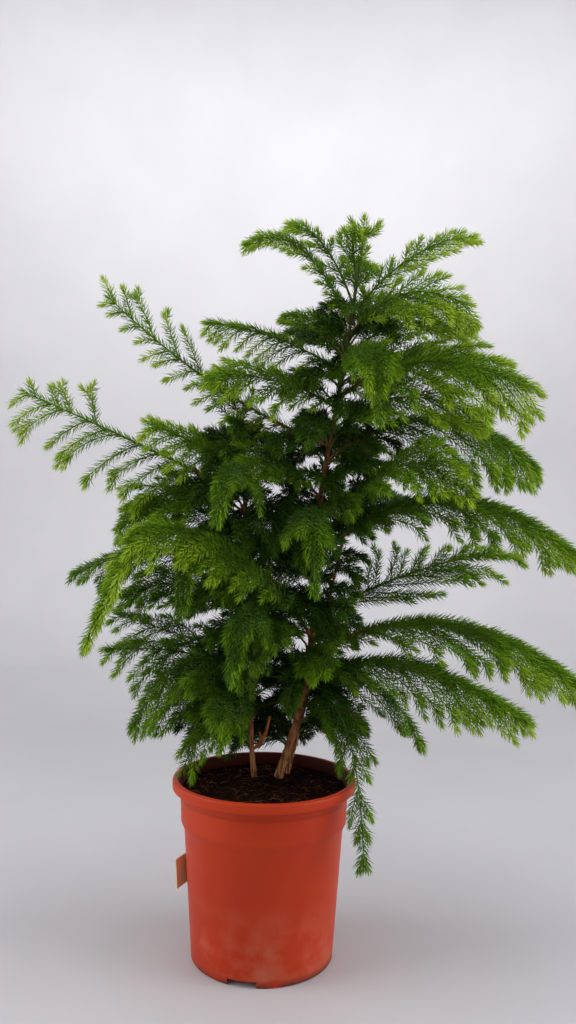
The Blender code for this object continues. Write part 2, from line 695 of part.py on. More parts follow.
def main():
    for old in list(bpy.data.objects):
        bpy.data.objects.remove(old)
    terracotta = material("moulded polypropylene", (0.60, 0.12, 0.05), 0.5)
    peat = material("moist peat", (0.03, 0.018, 0.012), 0.95)
    kraft = material("kraft card", (0.34, 0.20, 0.08), 0.8)
    bark = material("scaly bark", (0.18, 0.08, 0.04), 0.85)
    needle = material("pine needles", (0.05, 0.17, 0.03), 0.5)
    make_pot(terracotta)
    make_peat(peat)
    make_card(kraft)
    stems = {name: Stem(name) for name in STEMS}
    for stem in stems.values():
        stem.make(bark)
    branches = [Branch(name, stems) for name in BRANCHES]
    space = Space(stems, branches)
    for branch in branches:
        if branch.bare:
            make_bough(branch, bark)
        make_needles(branch, space, needle)


main()
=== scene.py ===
import math
import random

import bmesh
import bpy
from mathutils import Matrix, Vector, kdtree, noise


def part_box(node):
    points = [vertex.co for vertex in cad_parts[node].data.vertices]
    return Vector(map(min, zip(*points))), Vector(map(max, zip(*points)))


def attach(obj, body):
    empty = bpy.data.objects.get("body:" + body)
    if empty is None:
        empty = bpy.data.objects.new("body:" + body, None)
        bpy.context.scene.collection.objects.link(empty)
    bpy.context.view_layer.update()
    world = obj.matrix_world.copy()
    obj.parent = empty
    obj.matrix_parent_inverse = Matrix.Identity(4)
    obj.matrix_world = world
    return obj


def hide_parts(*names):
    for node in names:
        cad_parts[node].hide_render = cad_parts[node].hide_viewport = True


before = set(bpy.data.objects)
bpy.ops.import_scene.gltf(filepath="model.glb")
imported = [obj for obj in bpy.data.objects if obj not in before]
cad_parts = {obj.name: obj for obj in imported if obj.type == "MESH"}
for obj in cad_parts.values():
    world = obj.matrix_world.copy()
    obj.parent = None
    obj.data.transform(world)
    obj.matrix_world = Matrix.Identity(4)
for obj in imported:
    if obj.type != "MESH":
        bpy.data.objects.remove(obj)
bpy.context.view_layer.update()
root = "root"
up = Vector((0, 0, 1))
print("frame loaded:", len(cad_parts), "CAD nodes")

# General helpers


def linearColour(code):
    channels = [int(code[i:i + 2], 16) / 255 for i in (1, 3, 5)]
    return (*[c / 12.92 if c <= 0.04045 else ((c + 0.055) / 1.055) ** 2.4 for c in channels], 1.0)


def addNode(tree, kind, settings=None, links=None):
    node = tree.nodes.new(kind)
    for key, value in (settings or {}).items():
        if isinstance(key, str) and hasattr(node, key):
            setattr(node, key, value)
        else:
            node.inputs[key].default_value = value
    for key, socket in (links or {}).items():
        tree.links.new(socket, node.inputs[key])
    return node


def newMaterial(name, settings):
    made = bpy.data.materials.new(name)
    made.use_nodes = True
    tree = made.node_tree
    shader = tree.nodes["Principled BSDF"]
    for key, value in settings.items():
        shader.inputs[key].default_value = value
    place = addNode(tree, "ShaderNodeTexCoord").outputs["Object"]
    return made, tree, shader, place


def layered(tree, colour, layers):
    # Lays colours over a first one, each by a value that fades it in between two limits
    for value, low, high, over in layers:
        share = addNode(tree, "ShaderNodeMapRange", {"From Min": low, "From Max": high}, {"Value": value})
        mix = addNode(tree, "ShaderNodeMix", {"data_type": "RGBA"}, {0: share.outputs[0]})
        for key, given in ((6, colour), (7, over)):
            if isinstance(given, str):
                mix.inputs[key].default_value = linearColour(given)
            else:
                tree.links.new(given, mix.inputs[key])
        colour = mix.outputs[2]
    return colour


def mask(tree, first, second):
    # The product of two values, each faded from 0 at its first limit to its most at the second
    shares = {}
    for key, (value, low, high, most) in enumerate((first, second)):
        limits = {"From Min": low, "From Max": high, "To Max": most}
        shares[key] = addNode(tree, "ShaderNodeMapRange", limits, {"Value": value}).outputs[0]
    return addNode(tree, "ShaderNodeMath", {"operation": "MULTIPLY"}, shares).outputs[0]


def newObject(name, mesh, *materials):
    made = bpy.data.objects.new(name, mesh)
    for material in materials:
        mesh.materials.append(material)
    bpy.context.scene.collection.objects.link(made)
    return made


def meshFrom(bm, name):
    mesh = bpy.data.meshes.new(name)
    bm.to_mesh(mesh)
    bm.free()
    return mesh


def newTree(name, inputs):
    tree = bpy.data.node_groups.new(name, "GeometryNodeTree")
    tree.interface.new_socket("Geometry", in_out="INPUT", socket_type="NodeSocketGeometry")
    tree.interface.new_socket("Geometry", in_out="OUTPUT", socket_type="NodeSocketGeometry")
    sockets = {}
    for label, kind in inputs.items():
        made = tree.interface.new_socket(label, in_out="INPUT", socket_type="NodeSocket" + kind)
        sockets[label] = made.identifier
    return tree, sockets, addNode(tree, "NodeGroupInput")


def endTree(tree, geometry, material):
    real = addNode(tree, "GeometryNodeRealizeInstances", None, {"Geometry": geometry})
    painted = addNode(tree, "GeometryNodeSetMaterial", None,
                      {"Geometry": real.outputs[0], "Material": material})
    addNode(tree, "NodeGroupOutput", None, {"Geometry": painted.outputs[0]})


def grown(name, mesh, tree, sockets, values):
    # Runs a tree on a mesh and gives the result as a plain mesh object
    source = bpy.data.objects.new(name + "-source", mesh)
    bpy.context.scene.collection.objects.link(source)
    modifier = source.modifiers.new("grow", "NODES")
    modifier.node_group = tree
    for label, value in values.items():
        modifier[sockets[label]] = value
    depsgraph = bpy.context.evaluated_depsgraph_get()
    result = bpy.data.meshes.new_from_object(source.evaluated_get(depsgraph))
    source.modifiers.remove(modifier)
    bpy.data.objects.remove(source)
    return newObject(name, result)


def turnedMesh(profile, segments):
    # A profile of radius and height, turned about Z, with flat caps on its first and last rings
    bm = bmesh.new()
    rings = []
    for radius, height in profile:
        turn = [2 * math.pi * i / segments for i in range(segments)]
        rings.append([bm.verts.new((radius * math.cos(a), radius * math.sin(a), height)) for a in turn])
    for lower, upper in zip(rings, rings[1:]):
        for i in range(segments):
            j = (i + 1) % segments
            bm.faces.new((lower[i], lower[j], upper[j], upper[i]))
    bm.faces.new(rings[0])
    bm.faces.new(rings[-1])
    bmesh.ops.recalc_face_normals(bm, faces=bm.faces)
    return bm


def arc(centre, radius, first, last, steps):
    turns = [math.radians(first + (last - first) * i / steps) for i in range(steps + 1)]
    return [(centre[0] + radius * math.cos(a), centre[1] + radius * math.sin(a)) for a in turns]


# Materials


def needleMaterial(name, colour, lighter):
    # Leaf tissue under a thin dusty wax: a weak satin glint, and a slow drift between two near greens over
    # about 35 mm
    made, tree, shader, place = newMaterial(name, {
        "Roughness": 0.5, "IOR": 1.45, "Specular IOR Level": 0.25})
    drift = addNode(tree, "ShaderNodeTexNoise", {"Scale": 28.0, "Detail": 1.0}, {"Vector": place})
    green = layered(tree, colour, [(drift.outputs[0], 0.35, 0.65, lighter)])
    tree.links.new(green, shader.inputs["Base Color"])
    return made


def barkMaterial():
    # Young flaking bark: matt red-brown scales about 4 mm long, paler at their lifted rims, tan and split
    # lengthwise at the soil, greener near the top
    made, tree, shader, place = newMaterial("flaking young bark", {"Roughness": 0.86, "IOR": 1.45})
    scales = addNode(tree, "ShaderNodeTexVoronoi", {"Scale": 230.0}, {"Vector": place})
    grime = addNode(tree, "ShaderNodeTexNoise", {"Scale": 95.0, "Detail": 4.0}, {"Vector": place})
    height = addNode(tree, "ShaderNodeSeparateXYZ", None, {"Vector": place}).outputs["Z"]
    drawn = addNode(tree, "ShaderNodeMapping", {"Scale": (420.0, 420.0, 38.0)}, {"Vector": place})
    splits = addNode(tree, "ShaderNodeTexNoise", {"Scale": 1.0, "Detail": 3.0}, {"Vector": drawn.outputs[0]})
    tan = layered(tree, "#6b3c20", [(splits.outputs[0], 0.42, 0.58, "#c48a55")])
    brown = layered(tree, "#8a5230", [
        (scales.outputs["Distance"], 0.25, 0.75, "#54301f"),
        (grime.outputs[0], 0.42, 0.62, "#a9693c"),
        (height, 0.300, 0.245, tan),
        (height, 0.62, 0.90, "#4c5a24"),
    ])
    tree.links.new(brown, shader.inputs["Base Color"])
    relief = {"Strength": 0.6, "Distance": 0.0006}
    bump = addNode(tree, "ShaderNodeBump", relief, {"Height": grime.outputs[0]})
    tree.links.new(bump.outputs[0], shader.inputs["Normal"])
    return made


def woodMaterial(name, colour, older):
    # Soft shoot or dry fibre: dull, drifting towards a second colour where it is older
    made, tree, shader, place = newMaterial(name, {"Roughness": 0.6, "IOR": 1.45})
    drift = addNode(tree, "ShaderNodeTexNoise", {"Scale": 60.0, "Detail": 2.0}, {"Vector": place})
    skin = layered(tree, colour, [(drift.outputs[0], 0.4, 0.65, older)])
    tree.links.new(skin, shader.inputs["Base Color"])
    return made


def potMaterial():
    # Injection-moulded polypropylene, terracotta dye: satin under a film of dust, so its gloss is low; drifts
    # of pale dry haze about 30 mm across and a few nicks low on the wall, soil stain along the foot, and
    # painted shade on the inside above the peat. The mould's fine grain is drawn about 1 mm coarse, so
    # that it shows
    made, tree, shader, place = newMaterial("moulded polypropylene", {
        "Roughness": 0.46, "IOR": 1.49, "Specular IOR Level": 0.2})
    parts = addNode(tree, "ShaderNodeSeparateXYZ", None, {"Vector": place})
    height = parts.outputs["Z"]
    flat = addNode(tree, "ShaderNodeCombineXYZ", None, {"X": parts.outputs["X"], "Y": parts.outputs["Y"]})
    radius = addNode(tree, "ShaderNodeVectorMath", {"operation": "LENGTH"}, {0: flat.outputs[0]})
    flow = addNode(tree, "ShaderNodeTexNoise", {"Scale": 9.0, "Detail": 3.0}, {"Vector": place})
    drift = addNode(tree, "ShaderNodeTexNoise", {"Scale": 34.0, "Detail": 7.0}, {"Vector": place})
    nicks = addNode(tree, "ShaderNodeTexNoise", {"Scale": 150.0, "Detail": 3.0}, {"Vector": place})
    haze = mask(tree, (drift.outputs[0], 0.42, 0.70, 0.20), (height, 0.105, 0.045, 1.0))
    dots = mask(tree, (nicks.outputs[0], 0.70, 0.74, 0.60), (height, 0.030, 0.008, 1.0))
    worn = addNode(tree, "ShaderNodeMath", {"operation": "MAXIMUM"}, {0: haze, 1: dots}).outputs[0]
    soil = mask(tree, (height, 0.011, 0.001, 0.75), (drift.outputs[0], 0.35, 0.55, 1.0))
    # Inside is whatever lies nearer the axis than the middle of the wall, which leans out towards the lip
    leaning = {"From Min": 0.2225, "From Max": 0.2245, "To Min": 0.1110, "To Max": 0.1156}
    wall = addNode(tree, "ShaderNodeMapRange", leaning, {"Value": height})
    beyond = addNode(tree, "ShaderNodeMath", {"operation": "SUBTRACT"},
                     {0: radius.outputs["Value"], 1: wall.outputs[0]}).outputs[0]
    # Painted shade: inside the pot, above the peat, the wall is darkened nearly to black
    inside = mask(tree, (beyond, 0.0006, -0.0006, 0.90), (height, 0.2100, 0.2120, 1.0))
    soilStainAndShade = addNode(tree, "ShaderNodeMath", {"operation": "MAXIMUM"}, {0: soil, 1: inside}).outputs[0]
    terracotta = layered(tree, "#b63411", [
        (flow.outputs[0], 0.35, 0.7, "#c23c16"),
        (worn, 0.0, 1.0, "#d9a58c"),
        (soilStainAndShade, 0.0, 1.0, "#2a0f0b"),
    ])
    tree.links.new(terracotta, shader.inputs["Base Color"])
    duller = {"From Min": 0.0, "From Max": 0.5, "To Min": 0.46, "To Max": 0.75}
    rough = addNode(tree, "ShaderNodeMapRange", duller, {"Value": worn})
    tree.links.new(rough.outputs[0], shader.inputs["Roughness"])
    grain = addNode(tree, "ShaderNodeTexNoise", {"Scale": 900.0, "Detail": 2.0}, {"Vector": place})
    relief = {"Strength": 0.25, "Distance": 0.0003}
    bump = addNode(tree, "ShaderNodeBump", relief, {"Height": grain.outputs[0]})
    tree.links.new(bump.outputs[0], shader.inputs["Normal"])
    return made


def peatMaterial(name, dark, light):
    # Moist peat: nearly black, dead matt, with browner crumbs about 6 mm across
    made, tree, shader, place = newMaterial(name, {"Roughness": 0.95, "IOR": 1.4, "Specular IOR Level": 0.1})
    crumbs = addNode(tree, "ShaderNodeTexNoise", {"Scale": 160.0, "Detail": 5.0}, {"Vector": place})
    brown = layered(tree, dark, [(crumbs.outputs[0], 0.45, 0.68, light)])
    tree.links.new(brown, shader.inputs["Base Color"])
    relief = {"Strength": 0.8, "Distance": 0.002}
    bump = addNode(tree, "ShaderNodeBump", relief, {"Height": crumbs.outputs[0]})
    tree.links.new(bump.outputs[0], shader.inputs["Normal"])
    return made


def cardMaterial():
    # Kraft card: dull paper, thin enough to let light through, coloured paler than real tan kraft as painted
    # light on its face, which lies in shade. Its darker and paler fibres are drawn 1.4 mm wide and 7 mm long,
    # far coarser than real ones, so that they show
    made, tree, shader, place = newMaterial("kraft card", {
        "Roughness": 0.88, "IOR": 1.45, "Subsurface Weight": 0.35, "Subsurface Scale": 0.002})
    laid = addNode(tree, "ShaderNodeMapping", {"Scale": (700.0, 700.0, 140.0)}, {"Vector": place})
    fibres = addNode(tree, "ShaderNodeTexNoise", {"Scale": 1.0, "Detail": 4.0}, {"Vector": laid.outputs[0]})
    # Painted light: the tan is paler than real kraft, to light the card's shaded face
    tan = layered(tree, "#dccd98", [(fibres.outputs[0], 0.3, 0.7, "#e8dcab")])
    tree.links.new(tan, shader.inputs["Base Color"])
    relief = {"Strength": 0.3, "Distance": 0.0002}
    bump = addNode(tree, "ShaderNodeBump", relief, {"Height": fibres.outputs[0]})
    tree.links.new(bump.outputs[0], shader.inputs["Normal"])
    return made


# Stems and branches: the rule that the plant grows by

stemPlan = {
    "stem_main": {
        "waypoints": [
            (0.2230, 0.0185, 0.040),
            (0.3300, 0.0500, 0.035),
            (0.4400, 0.0630, 0.030),
            (0.6000, 0.0690, 0.025),
            (0.7700, 0.0955, 0.020),
            (0.9750, 0.1250, 0.020),
        ],
        "foot": 0.0060,
        "tip": 0.0016,
        "sides": 40,
    },
    "stem_left": {
        "waypoints": [
            (0.2230, -0.0150, 0.040),
            (0.3000, -0.0205, 0.038),
            (0.4700, -0.0155, 0.035),
            (0.5600, -0.0310, 0.035),
            (0.6600, -0.0370, 0.035),
            (0.7050, -0.0360, 0.035),
        ],
        "foot": 0.0038,
        "tip": 0.0017,
        "sides": 30,
    },
    "stem_right": {
        "waypoints": [
            (0.2230, 0.0310, 0.058),
            (0.3300, 0.0560, 0.052),
            (0.4400, 0.0790, 0.045),
            (0.5400, 0.1000, 0.040),
            (0.6600, 0.1270, 0.035),
            (0.7250, 0.1370, 0.035),
        ],
        "foot": 0.0030,
        "tip": 0.0014,
        "sides": 26,
    },
}
barkPlan = {
    "ringStep": 0.0016,  # distance between rings of the relief
    "scaleLength": 0.0046,  # one bark scale, along the stem
    "scaleWidth": 0.0048,  # and round it
    "depth": 0.00075,  # how far a scale's upper rim stands out
    "shareOfRadius": 0.28,  # and at most, on a thin limb
    "lapRise": 1.6,  # how late along its length a scale stands out
    "lapRound": 3,  # how late across its width it falls away
    "unevenness": 0.7,  # of the same depth
    "unevenScale": 210,  # lumps about 5 mm long
    "flare": 0.18,  # extra radius at the soil
    "flareHeight": 0.030,
    "boughLeast": 0.030,  # bark on a branch reaches at least this far
    "boughSides": 12,
    "collar": 1.5,  # swelling where a branch leaves its stem
    "cover": 0.0002,  # bark over the twig inside it
}

# For each stem: height of the foot, azimuth of the tip (0 right, 90 back), turn on the way, reach, rise of
# the tip, arch above the chord, longest branchlet, roll of the spray, sag of the branchlets, taper, bare
# share, freshness of the needles with painted light and shade, from 0 (old and dark, as at the back and
# inside) to 1 (new, yellow-green and lit, as in front), and spacing of the branchlets
branchFields = "height azimuth turn reach rise arch branchlet roll sag taper bare fresh pitch".split()
branchPlan = {
    "stem_main": {
        "top_left": (0.873, 170, 15, 0.088, 0.112, 0.030, 0.040, 40, 0.10, 0.45, 0, 1.00, 0.015),
        "top_back": (0.885, 75, -10, 0.110, 0.070, 0.018, 0.045, 20, 0.10, 0.45, 0, 0.80, 0.015),
        "top_front": (0.905, 262, 12, 0.070, 0.045, 0.010, 0.036, 10, 0.10, 0.40, 0, 0.95, 0.013),
        "top_right": (0.860, 5, 10, 0.168, 0.112, 0.026, 0.060, 45, 0.12, 0.40, 0, 1.05, 0.017),
        "crown_left": (0.847, 190, -10, 0.143, 0.100, 0.046, 0.048, 40, 0.10, 0.45, 0, 1.00, 0.016),
        "crown_left_low": (0.831, 152, 10, 0.100, 0.035, 0.010, 0.045, 35, 0.15, 0.55, 0, 0.75, 0.014),
        "crown_right": (0.831, 338, 12, 0.160, 0.030, 0.034, 0.075, 50, 0.12, 0.40, 0, 1.00, 0.015),
        "crown_back_right": (0.822, 40, -10, 0.170, 0.060, 0.030, 0.070, 25, 0.12, 0.45, 0, 0.90, 0.016),
        "crown_back": (0.800, 105, -12, 0.190, 0.060, 0.030, 0.075, 15, 0.15, 0.55, 0, 0.40, 0.016),
        "high_left": (0.782, 175, 12, 0.187, 0.068, 0.014, 0.068, 45, 0.25, 0.45, 0, 1.00, 0.016),
        "high_front": (0.768, 284, -10, 0.160, -0.010, 0.040, 0.070, 0, 0.35, 0.55, 0, 0.62, 0.015),
        "high_back_right": (0.765, 22, -12, 0.230, 0.030, 0.036, 0.085, 35, 0.20, 0.45, 0, 0.60, 0.015),
        "high_right": (0.744, 335, 14, 0.252, 0.005, 0.040, 0.095, 50, 0.20, 0.38, 0.22, 0.85, 0.015),
        "high_front_left": (0.732, 205, -12, 0.180, 0.030, 0.014, 0.066, 40, 0.15, 0.45, 0, 0.80, 0.015),
        "long_left": (0.681, 185, 8, 0.300, 0.192, -0.020, 0.085, 60, 0.08, 0.30, 0.28, 0.90, 0.020),
        "long_right": (0.660, 10, 10, 0.310, -0.002, 0.062, 0.095, 35, 0.50, 0.55, 0.24, 0.60, 0.015),
        "upper_back": (0.655, 80, 10, 0.280, 0.035, 0.040, 0.095, 15, 0.20, 0.55, 0, 0.25, 0.016),
        "inner_left": (0.610, 222, 14, 0.140, 0.030, 0.026, 0.070, 30, 0.25, 0.55, 0, 0.50, 0.014),
        "middle_right": (0.532, 352, 12, 0.352, 0.003, 0.076, 0.095, 35, 0.45, 0.55, 0.24, 0.60, 0.015),
        "middle_front": (0.545, 268, 10, 0.180, 0.020, 0.035, 0.065, 0, 0.30, 0.55, 0, 0.40, 0.015),
        "middle_back": (0.505, 98, -10, 0.315, 0.015, 0.045, 0.095, 15, 0.20, 0.55, 0, 0.20, 0.016),
        "sweep_front_left": (0.418, 212, -16, 0.325, 0.142, 0.061, 0.085, 40, 0.40, 0.55, 0.26, 0.80, 0.014),
        "low_right": (0.393, 352, 10, 0.380, -0.040, 0.070, 0.100, 35, 0.40, 0.55, 0.22, 0.70, 0.014),
        "low_back_right": (0.340, 25, 22, 0.195, -0.088, 0.052, 0.060, 35, 0.40, 0.55, 0, 0.45, 0.017),
        "rim_right": (0.315, 300, -30, 0.160, -0.162, 0.082, 0.048, 30, 0.30, 0.55, 0, 0.45, 0.016),
    },
    "stem_left": {
        "leader_left": (0.690, 130, 10, 0.060, 0.090, 0.010, 0.055, 20, 0.05, 0.40, 0, 0.60, 0.013),
        "arm_left": (0.612, 185, -8, 0.300, 0.135, 0.002, 0.084, 50, 0.10, 0.40, 0.26, 0.85, 0.020),
        "arm_front_left": (0.647, 210, 10, 0.135, 0.055, 0.004, 0.066, 40, 0.20, 0.40, 0, 0.90, 0.014),
        "arm_back": (0.640, 112, 12, 0.235, 0.060, 0.030, 0.085, 15, 0.15, 0.55, 0, 0.25, 0.016),
        "shelf_left": (0.586, 195, -10, 0.172, -0.024, 0.043, 0.070, 40, 0.20, 0.55, 0, 0.55, 0.015),
        "arm_front": (0.600, 262, -12, 0.180, 0.040, 0.020, 0.070, 0, 0.25, 0.55, 0, 0.45, 0.015),
        "inner_front": (0.520, 244, 12, 0.185, 0.010, 0.030, 0.070, 10, 0.25, 0.55, 0, 0.38, 0.015),
        "shelf_back_left": (0.496, 163, 8, 0.280, 0.000, 0.036, 0.090, 40, 0.30, 0.55, 0, 0.30, 0.017),
        "inner_back": (0.510, 120, 12, 0.245, 0.030, 0.036, 0.090, 15, 0.20, 0.55, 0, 0.20, 0.016),
        "low_front": (0.425, 262, -12, 0.180, 0.015, 0.035, 0.065, 0, 0.35, 0.55, 0, 0.40, 0.015),
        "low_back_left": (0.399, 158, 10, 0.225, 0.040, -0.010, 0.080, 40, 0.25, 0.55, 0, 0.38, 0.016),
        "low_back": (0.385, 100, 10, 0.265, -0.020, 0.040, 0.085, 15, 0.30, 0.55, 0, 0.20, 0.017),
        "low_left": (0.370, 190, 8, 0.198, 0.032, 0.010, 0.070, 45, 0.30, 0.55, 0, 0.50, 0.016),
        "skirt_left": (0.335, 195, -10, 0.165, -0.040, 0.075, 0.065, 40, 0.40, 0.55, 0, 0.45, 0.016),
        "rim_left": (0.305, 172, 10, 0.146, -0.012, 0.032, 0.055, 40, 0.40, 0.55, 0, 0.50, 0.016),
        "rim_front_left": (0.290, 217, -12, 0.112, -0.045, 0.050, 0.050, 35, 0.40, 0.55, 0, 0.60, 0.014),
    },
    "stem_right": {
        "leader_right": (0.715, 20, 25, 0.045, 0.085, 0.005, 0.045, 20, 0.05, 0.40, 0, 0.55, 0.013),
        "side_front_right": (0.590, 310, 12, 0.210, 0.022, 0.050, 0.075, 40, 0.20, 0.55, 0, 0.65, 0.015),
        "side_back_right": (0.560, 58, -10, 0.275, 0.030, 0.040, 0.085, 20, 0.20, 0.55, 0, 0.30, 0.016),
        "fan_right": (0.452, 20, -8, 0.270, 0.084, 0.010, 0.095, 50, 0.05, 0.42, 0.20, 0.62, 0.016),
        "side_low_right": (0.367, 331, 10, 0.300, -0.028, 0.038, 0.090, 40, 0.40, 0.55, 0, 0.65, 0.014),
    },
}
extraPlan = {  # further branches by the same rule, where the crown is closed
    "stem_main": {
        "fill_high_right": (0.800, 352, 10, 0.160, 0.030, 0.030, 0.075, 40, 0.15, 0.45, 0, 0.90, 0.018),
        "fill_right": (0.700, 345, 10, 0.200, 0.010, 0.040, 0.080, 40, 0.20, 0.45, 0, 0.80, 0.018),
    },
    "stem_left": {
        "fill_left": (0.560, 182, 10, 0.165, 0.030, 0.020, 0.065, 40, 0.20, 0.50, 0, 0.50, 0.015),
        "fill_low_left": (0.450, 185, -8, 0.180, 0.020, 0.030, 0.070, 35, 0.20, 0.50, 0, 0.35, 0.015),
    },
}
growthPlan = {
    "seed": 41,
    "knotSpacing": 0.045,  # along a stem, between the points that branches are placed by
    "markSpacing": 0.006,  # along a limb, between the points that keep twigs clear of it
    "boughRadius": 0.0026,  # foot of a branch with a bare bough
    "stalkRadius": 0.0017,  # foot of any other branch
    "tipRadius": 0.0007,
    "twigRadius": 0.0010,
    "twigEnd": 0.0005,
    "firstTwig": 0.020,  # stretch next to the stem without branchlets
    "firstNeedle": 0.008,  # and without needles
    "bud": 0.010,  # and the last stretch
    "jitter": 6,  # degrees
    "tilt": 0.10,  # how far a branchlet may leave its spray's plane
    "stagger": 0.3,  # of the branchlets' spacing, either way
    "lengths": (0.80, 1.12),  # spread of branchlet lengths
    "fullFrom": 0.42,  # share of a branch where its branchlets are full, less the row's early share
    "taperRise": 1.22,  # keeps them full for a while before they taper
    "sparse": (0.45, 0.55),  # length at the foot of a bare bough, and how much more at its end
    "sagAlong": (0.6, 0.8),  # at a branch's foot, and how much more at its tip
    "sagBack": 0.5,  # of that, in the back row
    "droopFrom": 0.7,  # share of a branch past which it droops
    "droopOver": 0.3,
    "stalkShade": 0.1,  # how much duller a branch's own needles are
    "glowAlong": (0.70, 0.50),  # freshness at a branch's foot, and how much more at its tip
    "glowStray": 0.10,  # either way
    "shortest": 0.014,
    "forkFrom": 0.055,  # branchlets longer than this fork near their ends
    "forkLength": (0.014, 0.024),
    "forkTurn": (32, 46),  # degrees
    "forkRadii": (0.0006, 0.0004),
    "forkGlow": 0.12,
    "forkBend": (0.4, 0.1, 0.005),  # turn forward, hang, and distance between its points
    "limbRoom": 0.005,  # a twig stops this far from another limb
    "rimRoom": 0.006,  # and this far from the pot's lip
    "lipWidth": 0.020,  # measured inwards from the rim
    "lipHang": 0.006,  # a plume may hang this far below the rim, inside the lip
    "step": 0.008,  # along a twig, between its points
}

# How a row of branchlets stands: degrees from the branch at its foot and tip, share of the length that turns
# forward, where on the branch the row begins, how soon it is full, length, hang and spacing against the
# branch's own. Roll turns a branch's whole spray and droop bends its last third down
commonRow = {
    "spread": (54, 26), "forward": 0.30, "from": 0.0, "early": 0.16, "length": 1.0, "hang": 0.0, "gap": 1.0}
uprightRow = {"spread": (62, 30), "forward": 0.15, "length": 0.7, "gap": 1.15}
drapedRow = {"spread": (46, 20), "length": 1.05, "hang": 0.28}
slenderRow = {"spread": (36, 14), "forward": 0.40, "length": 1.05, "hang": 0.12, "gap": 1.15}
hangingRow = {"spread": (40, 18), "forward": 0.35, "length": 0.95, "hang": 0.40, "gap": 1.3}
openRow = {"spread": (56, 32), "forward": 0.25, "length": 1.12, "hang": 0.16, "gap": 1.45}
habitPlan = {
    "long_left": {
        "back": {"from": 0.58, "length": 1.15, "spread": (48, 36), "forward": 0.0, "gap": 1.35},
        "front": {"length": 0.48, "spread": (58, 40), "hang": 0.35, "gap": 1.0},
    },
    "arm_left": {
        "back": {"from": 0.64, "length": 0.95, "spread": (72, 40), "forward": 0.0, "gap": 1.3},
        "front": {"length": 1.0, "spread": (50, 34), "hang": 0.50, "gap": 1.3},
    },
    "high_left": {"back": {"from": 0.30, "length": 0.5, "hang": 0.1}, "front": {"length": 0.7, "hang": 0.50}},
    "high_front": {"droop": 0.060, "back": hangingRow, "front": hangingRow},
    "high_front_left": {"front": {"hang": 0.30, "gap": 1.2}},
    "crown_left": {"back": {"length": 0.6}, "front": {"length": 0.85, "hang": 0.30}},
    "top_left": {"back": dict(uprightRow, length=0.8), "front": {"length": 0.9, "hang": 0.2}},
    "top_right": {"back": uprightRow, "front": {"length": 0.75, "spread": (60, 34)}},
    "crown_right": {"back": uprightRow, "front": drapedRow},
    "high_right": {"roll": 40, "back": {"spread": (44, 18), "length": 0.9}, "front": drapedRow},
    "long_right": {"roll": 28, "back": slenderRow, "front": drapedRow},
    "middle_right": {"roll": 20, "back": slenderRow, "front": slenderRow},
    "fan_right": {
        "roll": 46,
        "back": {"spread": (68, 20), "forward": 0.1, "length": 0.60, "hang": -0.05},
        "front": {
            "spread": (27, 10), "forward": 0.2, "from": 0.08, "early": 0.45, "length": 1.4, "hang": 0.03,
            "gap": 1.35},
    },
    "low_right": {"roll": 14, "back": slenderRow, "front": slenderRow},
    "side_low_right": {"roll": 18, "back": slenderRow, "front": slenderRow},
    "sweep_front_left": {"roll": 26, "droop": 0.140, "back": slenderRow, "front": slenderRow},
    "shelf_back_left": {
        "roll": 26,
        "back": {"length": 0.8, "gap": 1.3},
        "front": {"spread": (42, 20), "hang": 0.1, "gap": 1.3},
    },
    "shelf_left": {"front": drapedRow},
    "arm_front_left": {"back": dict(uprightRow, length=0.8), "front": drapedRow},
    "middle_front": {"droop": 0.070, "back": hangingRow, "front": hangingRow},
    "arm_front": {"droop": 0.060, "back": hangingRow, "front": hangingRow},
    "inner_front": {"droop": 0.070, "back": hangingRow, "front": hangingRow},
    "low_front": {"droop": 0.050, "back": hangingRow, "front": hangingRow},
    "low_left": {"back": openRow, "front": openRow},
    "low_back_left": {"back": openRow, "front": openRow},
    "skirt_left": {"roll": 25, "back": openRow, "front": openRow},
    "rim_left": {"roll": 25, "back": openRow, "front": openRow},
    "rim_front_left": {"roll": 20, "back": openRow, "front": openRow},
    "rim_right": {"roll": 20, "back": openRow, "front": openRow},
    "low_back_right": {"roll": 25, "back": dict(openRow, gap=1.9), "front": dict(openRow, gap=1.7)},
}
branchRows = {name: row for rows in branchPlan.values() for name, row in rows.items()}
needleNodes = ["needles_" + name for name in branchRows]
boughNodes = ["bough_" + name for name, row in branchRows.items() if row[branchFields.index("bare")]]
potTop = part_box("pot")[1].z
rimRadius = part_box("pot")[1].x


def smoothPath(waypoints, spacing):
    # A Catmull-Rom curve through waypoints of height, x and y
    knots = [Vector((x, y, z)) for z, x, y in waypoints]
    knots = [knots[0] * 2 - knots[1]] + knots + [knots[-1] * 2 - knots[-2]]
    points = []
    for a, b, c, d in zip(knots, knots[1:], knots[2:], knots[3:]):
        steps = max(1, round((c - b).length / spacing))
        for i in range(steps):
            t = i / steps
            bend = (a * 2 - b * 5 + c * 4 - d) * t * t + (b * 3 - a - c * 3 + d) * t ** 3
            points.append((b * 2 + (c - a) * t + bend) / 2)
    points.append(knots[-2])
    return points


def stemRadius(stem, height):
    low, high = stem["points"][0].z, stem["points"][-1].z
    straight = stem["foot"] + (stem["tip"] - stem["foot"]) * (height - low) / (high - low)
    above = min(1.0, (height - low) / barkPlan["flareHeight"])
    return straight * (1 + barkPlan["flare"] * (1 - above) ** 2)


def stemAt(stem, height):
    for a, b in zip(stem["points"], stem["points"][1:]):
        if height <= b.z:
            return a.lerp(b, (height - a.z) / (b.z - a.z)), (b - a).normalized()
    return stem["points"][-1], (stem["points"][-1] - stem["points"][-2]).normalized()


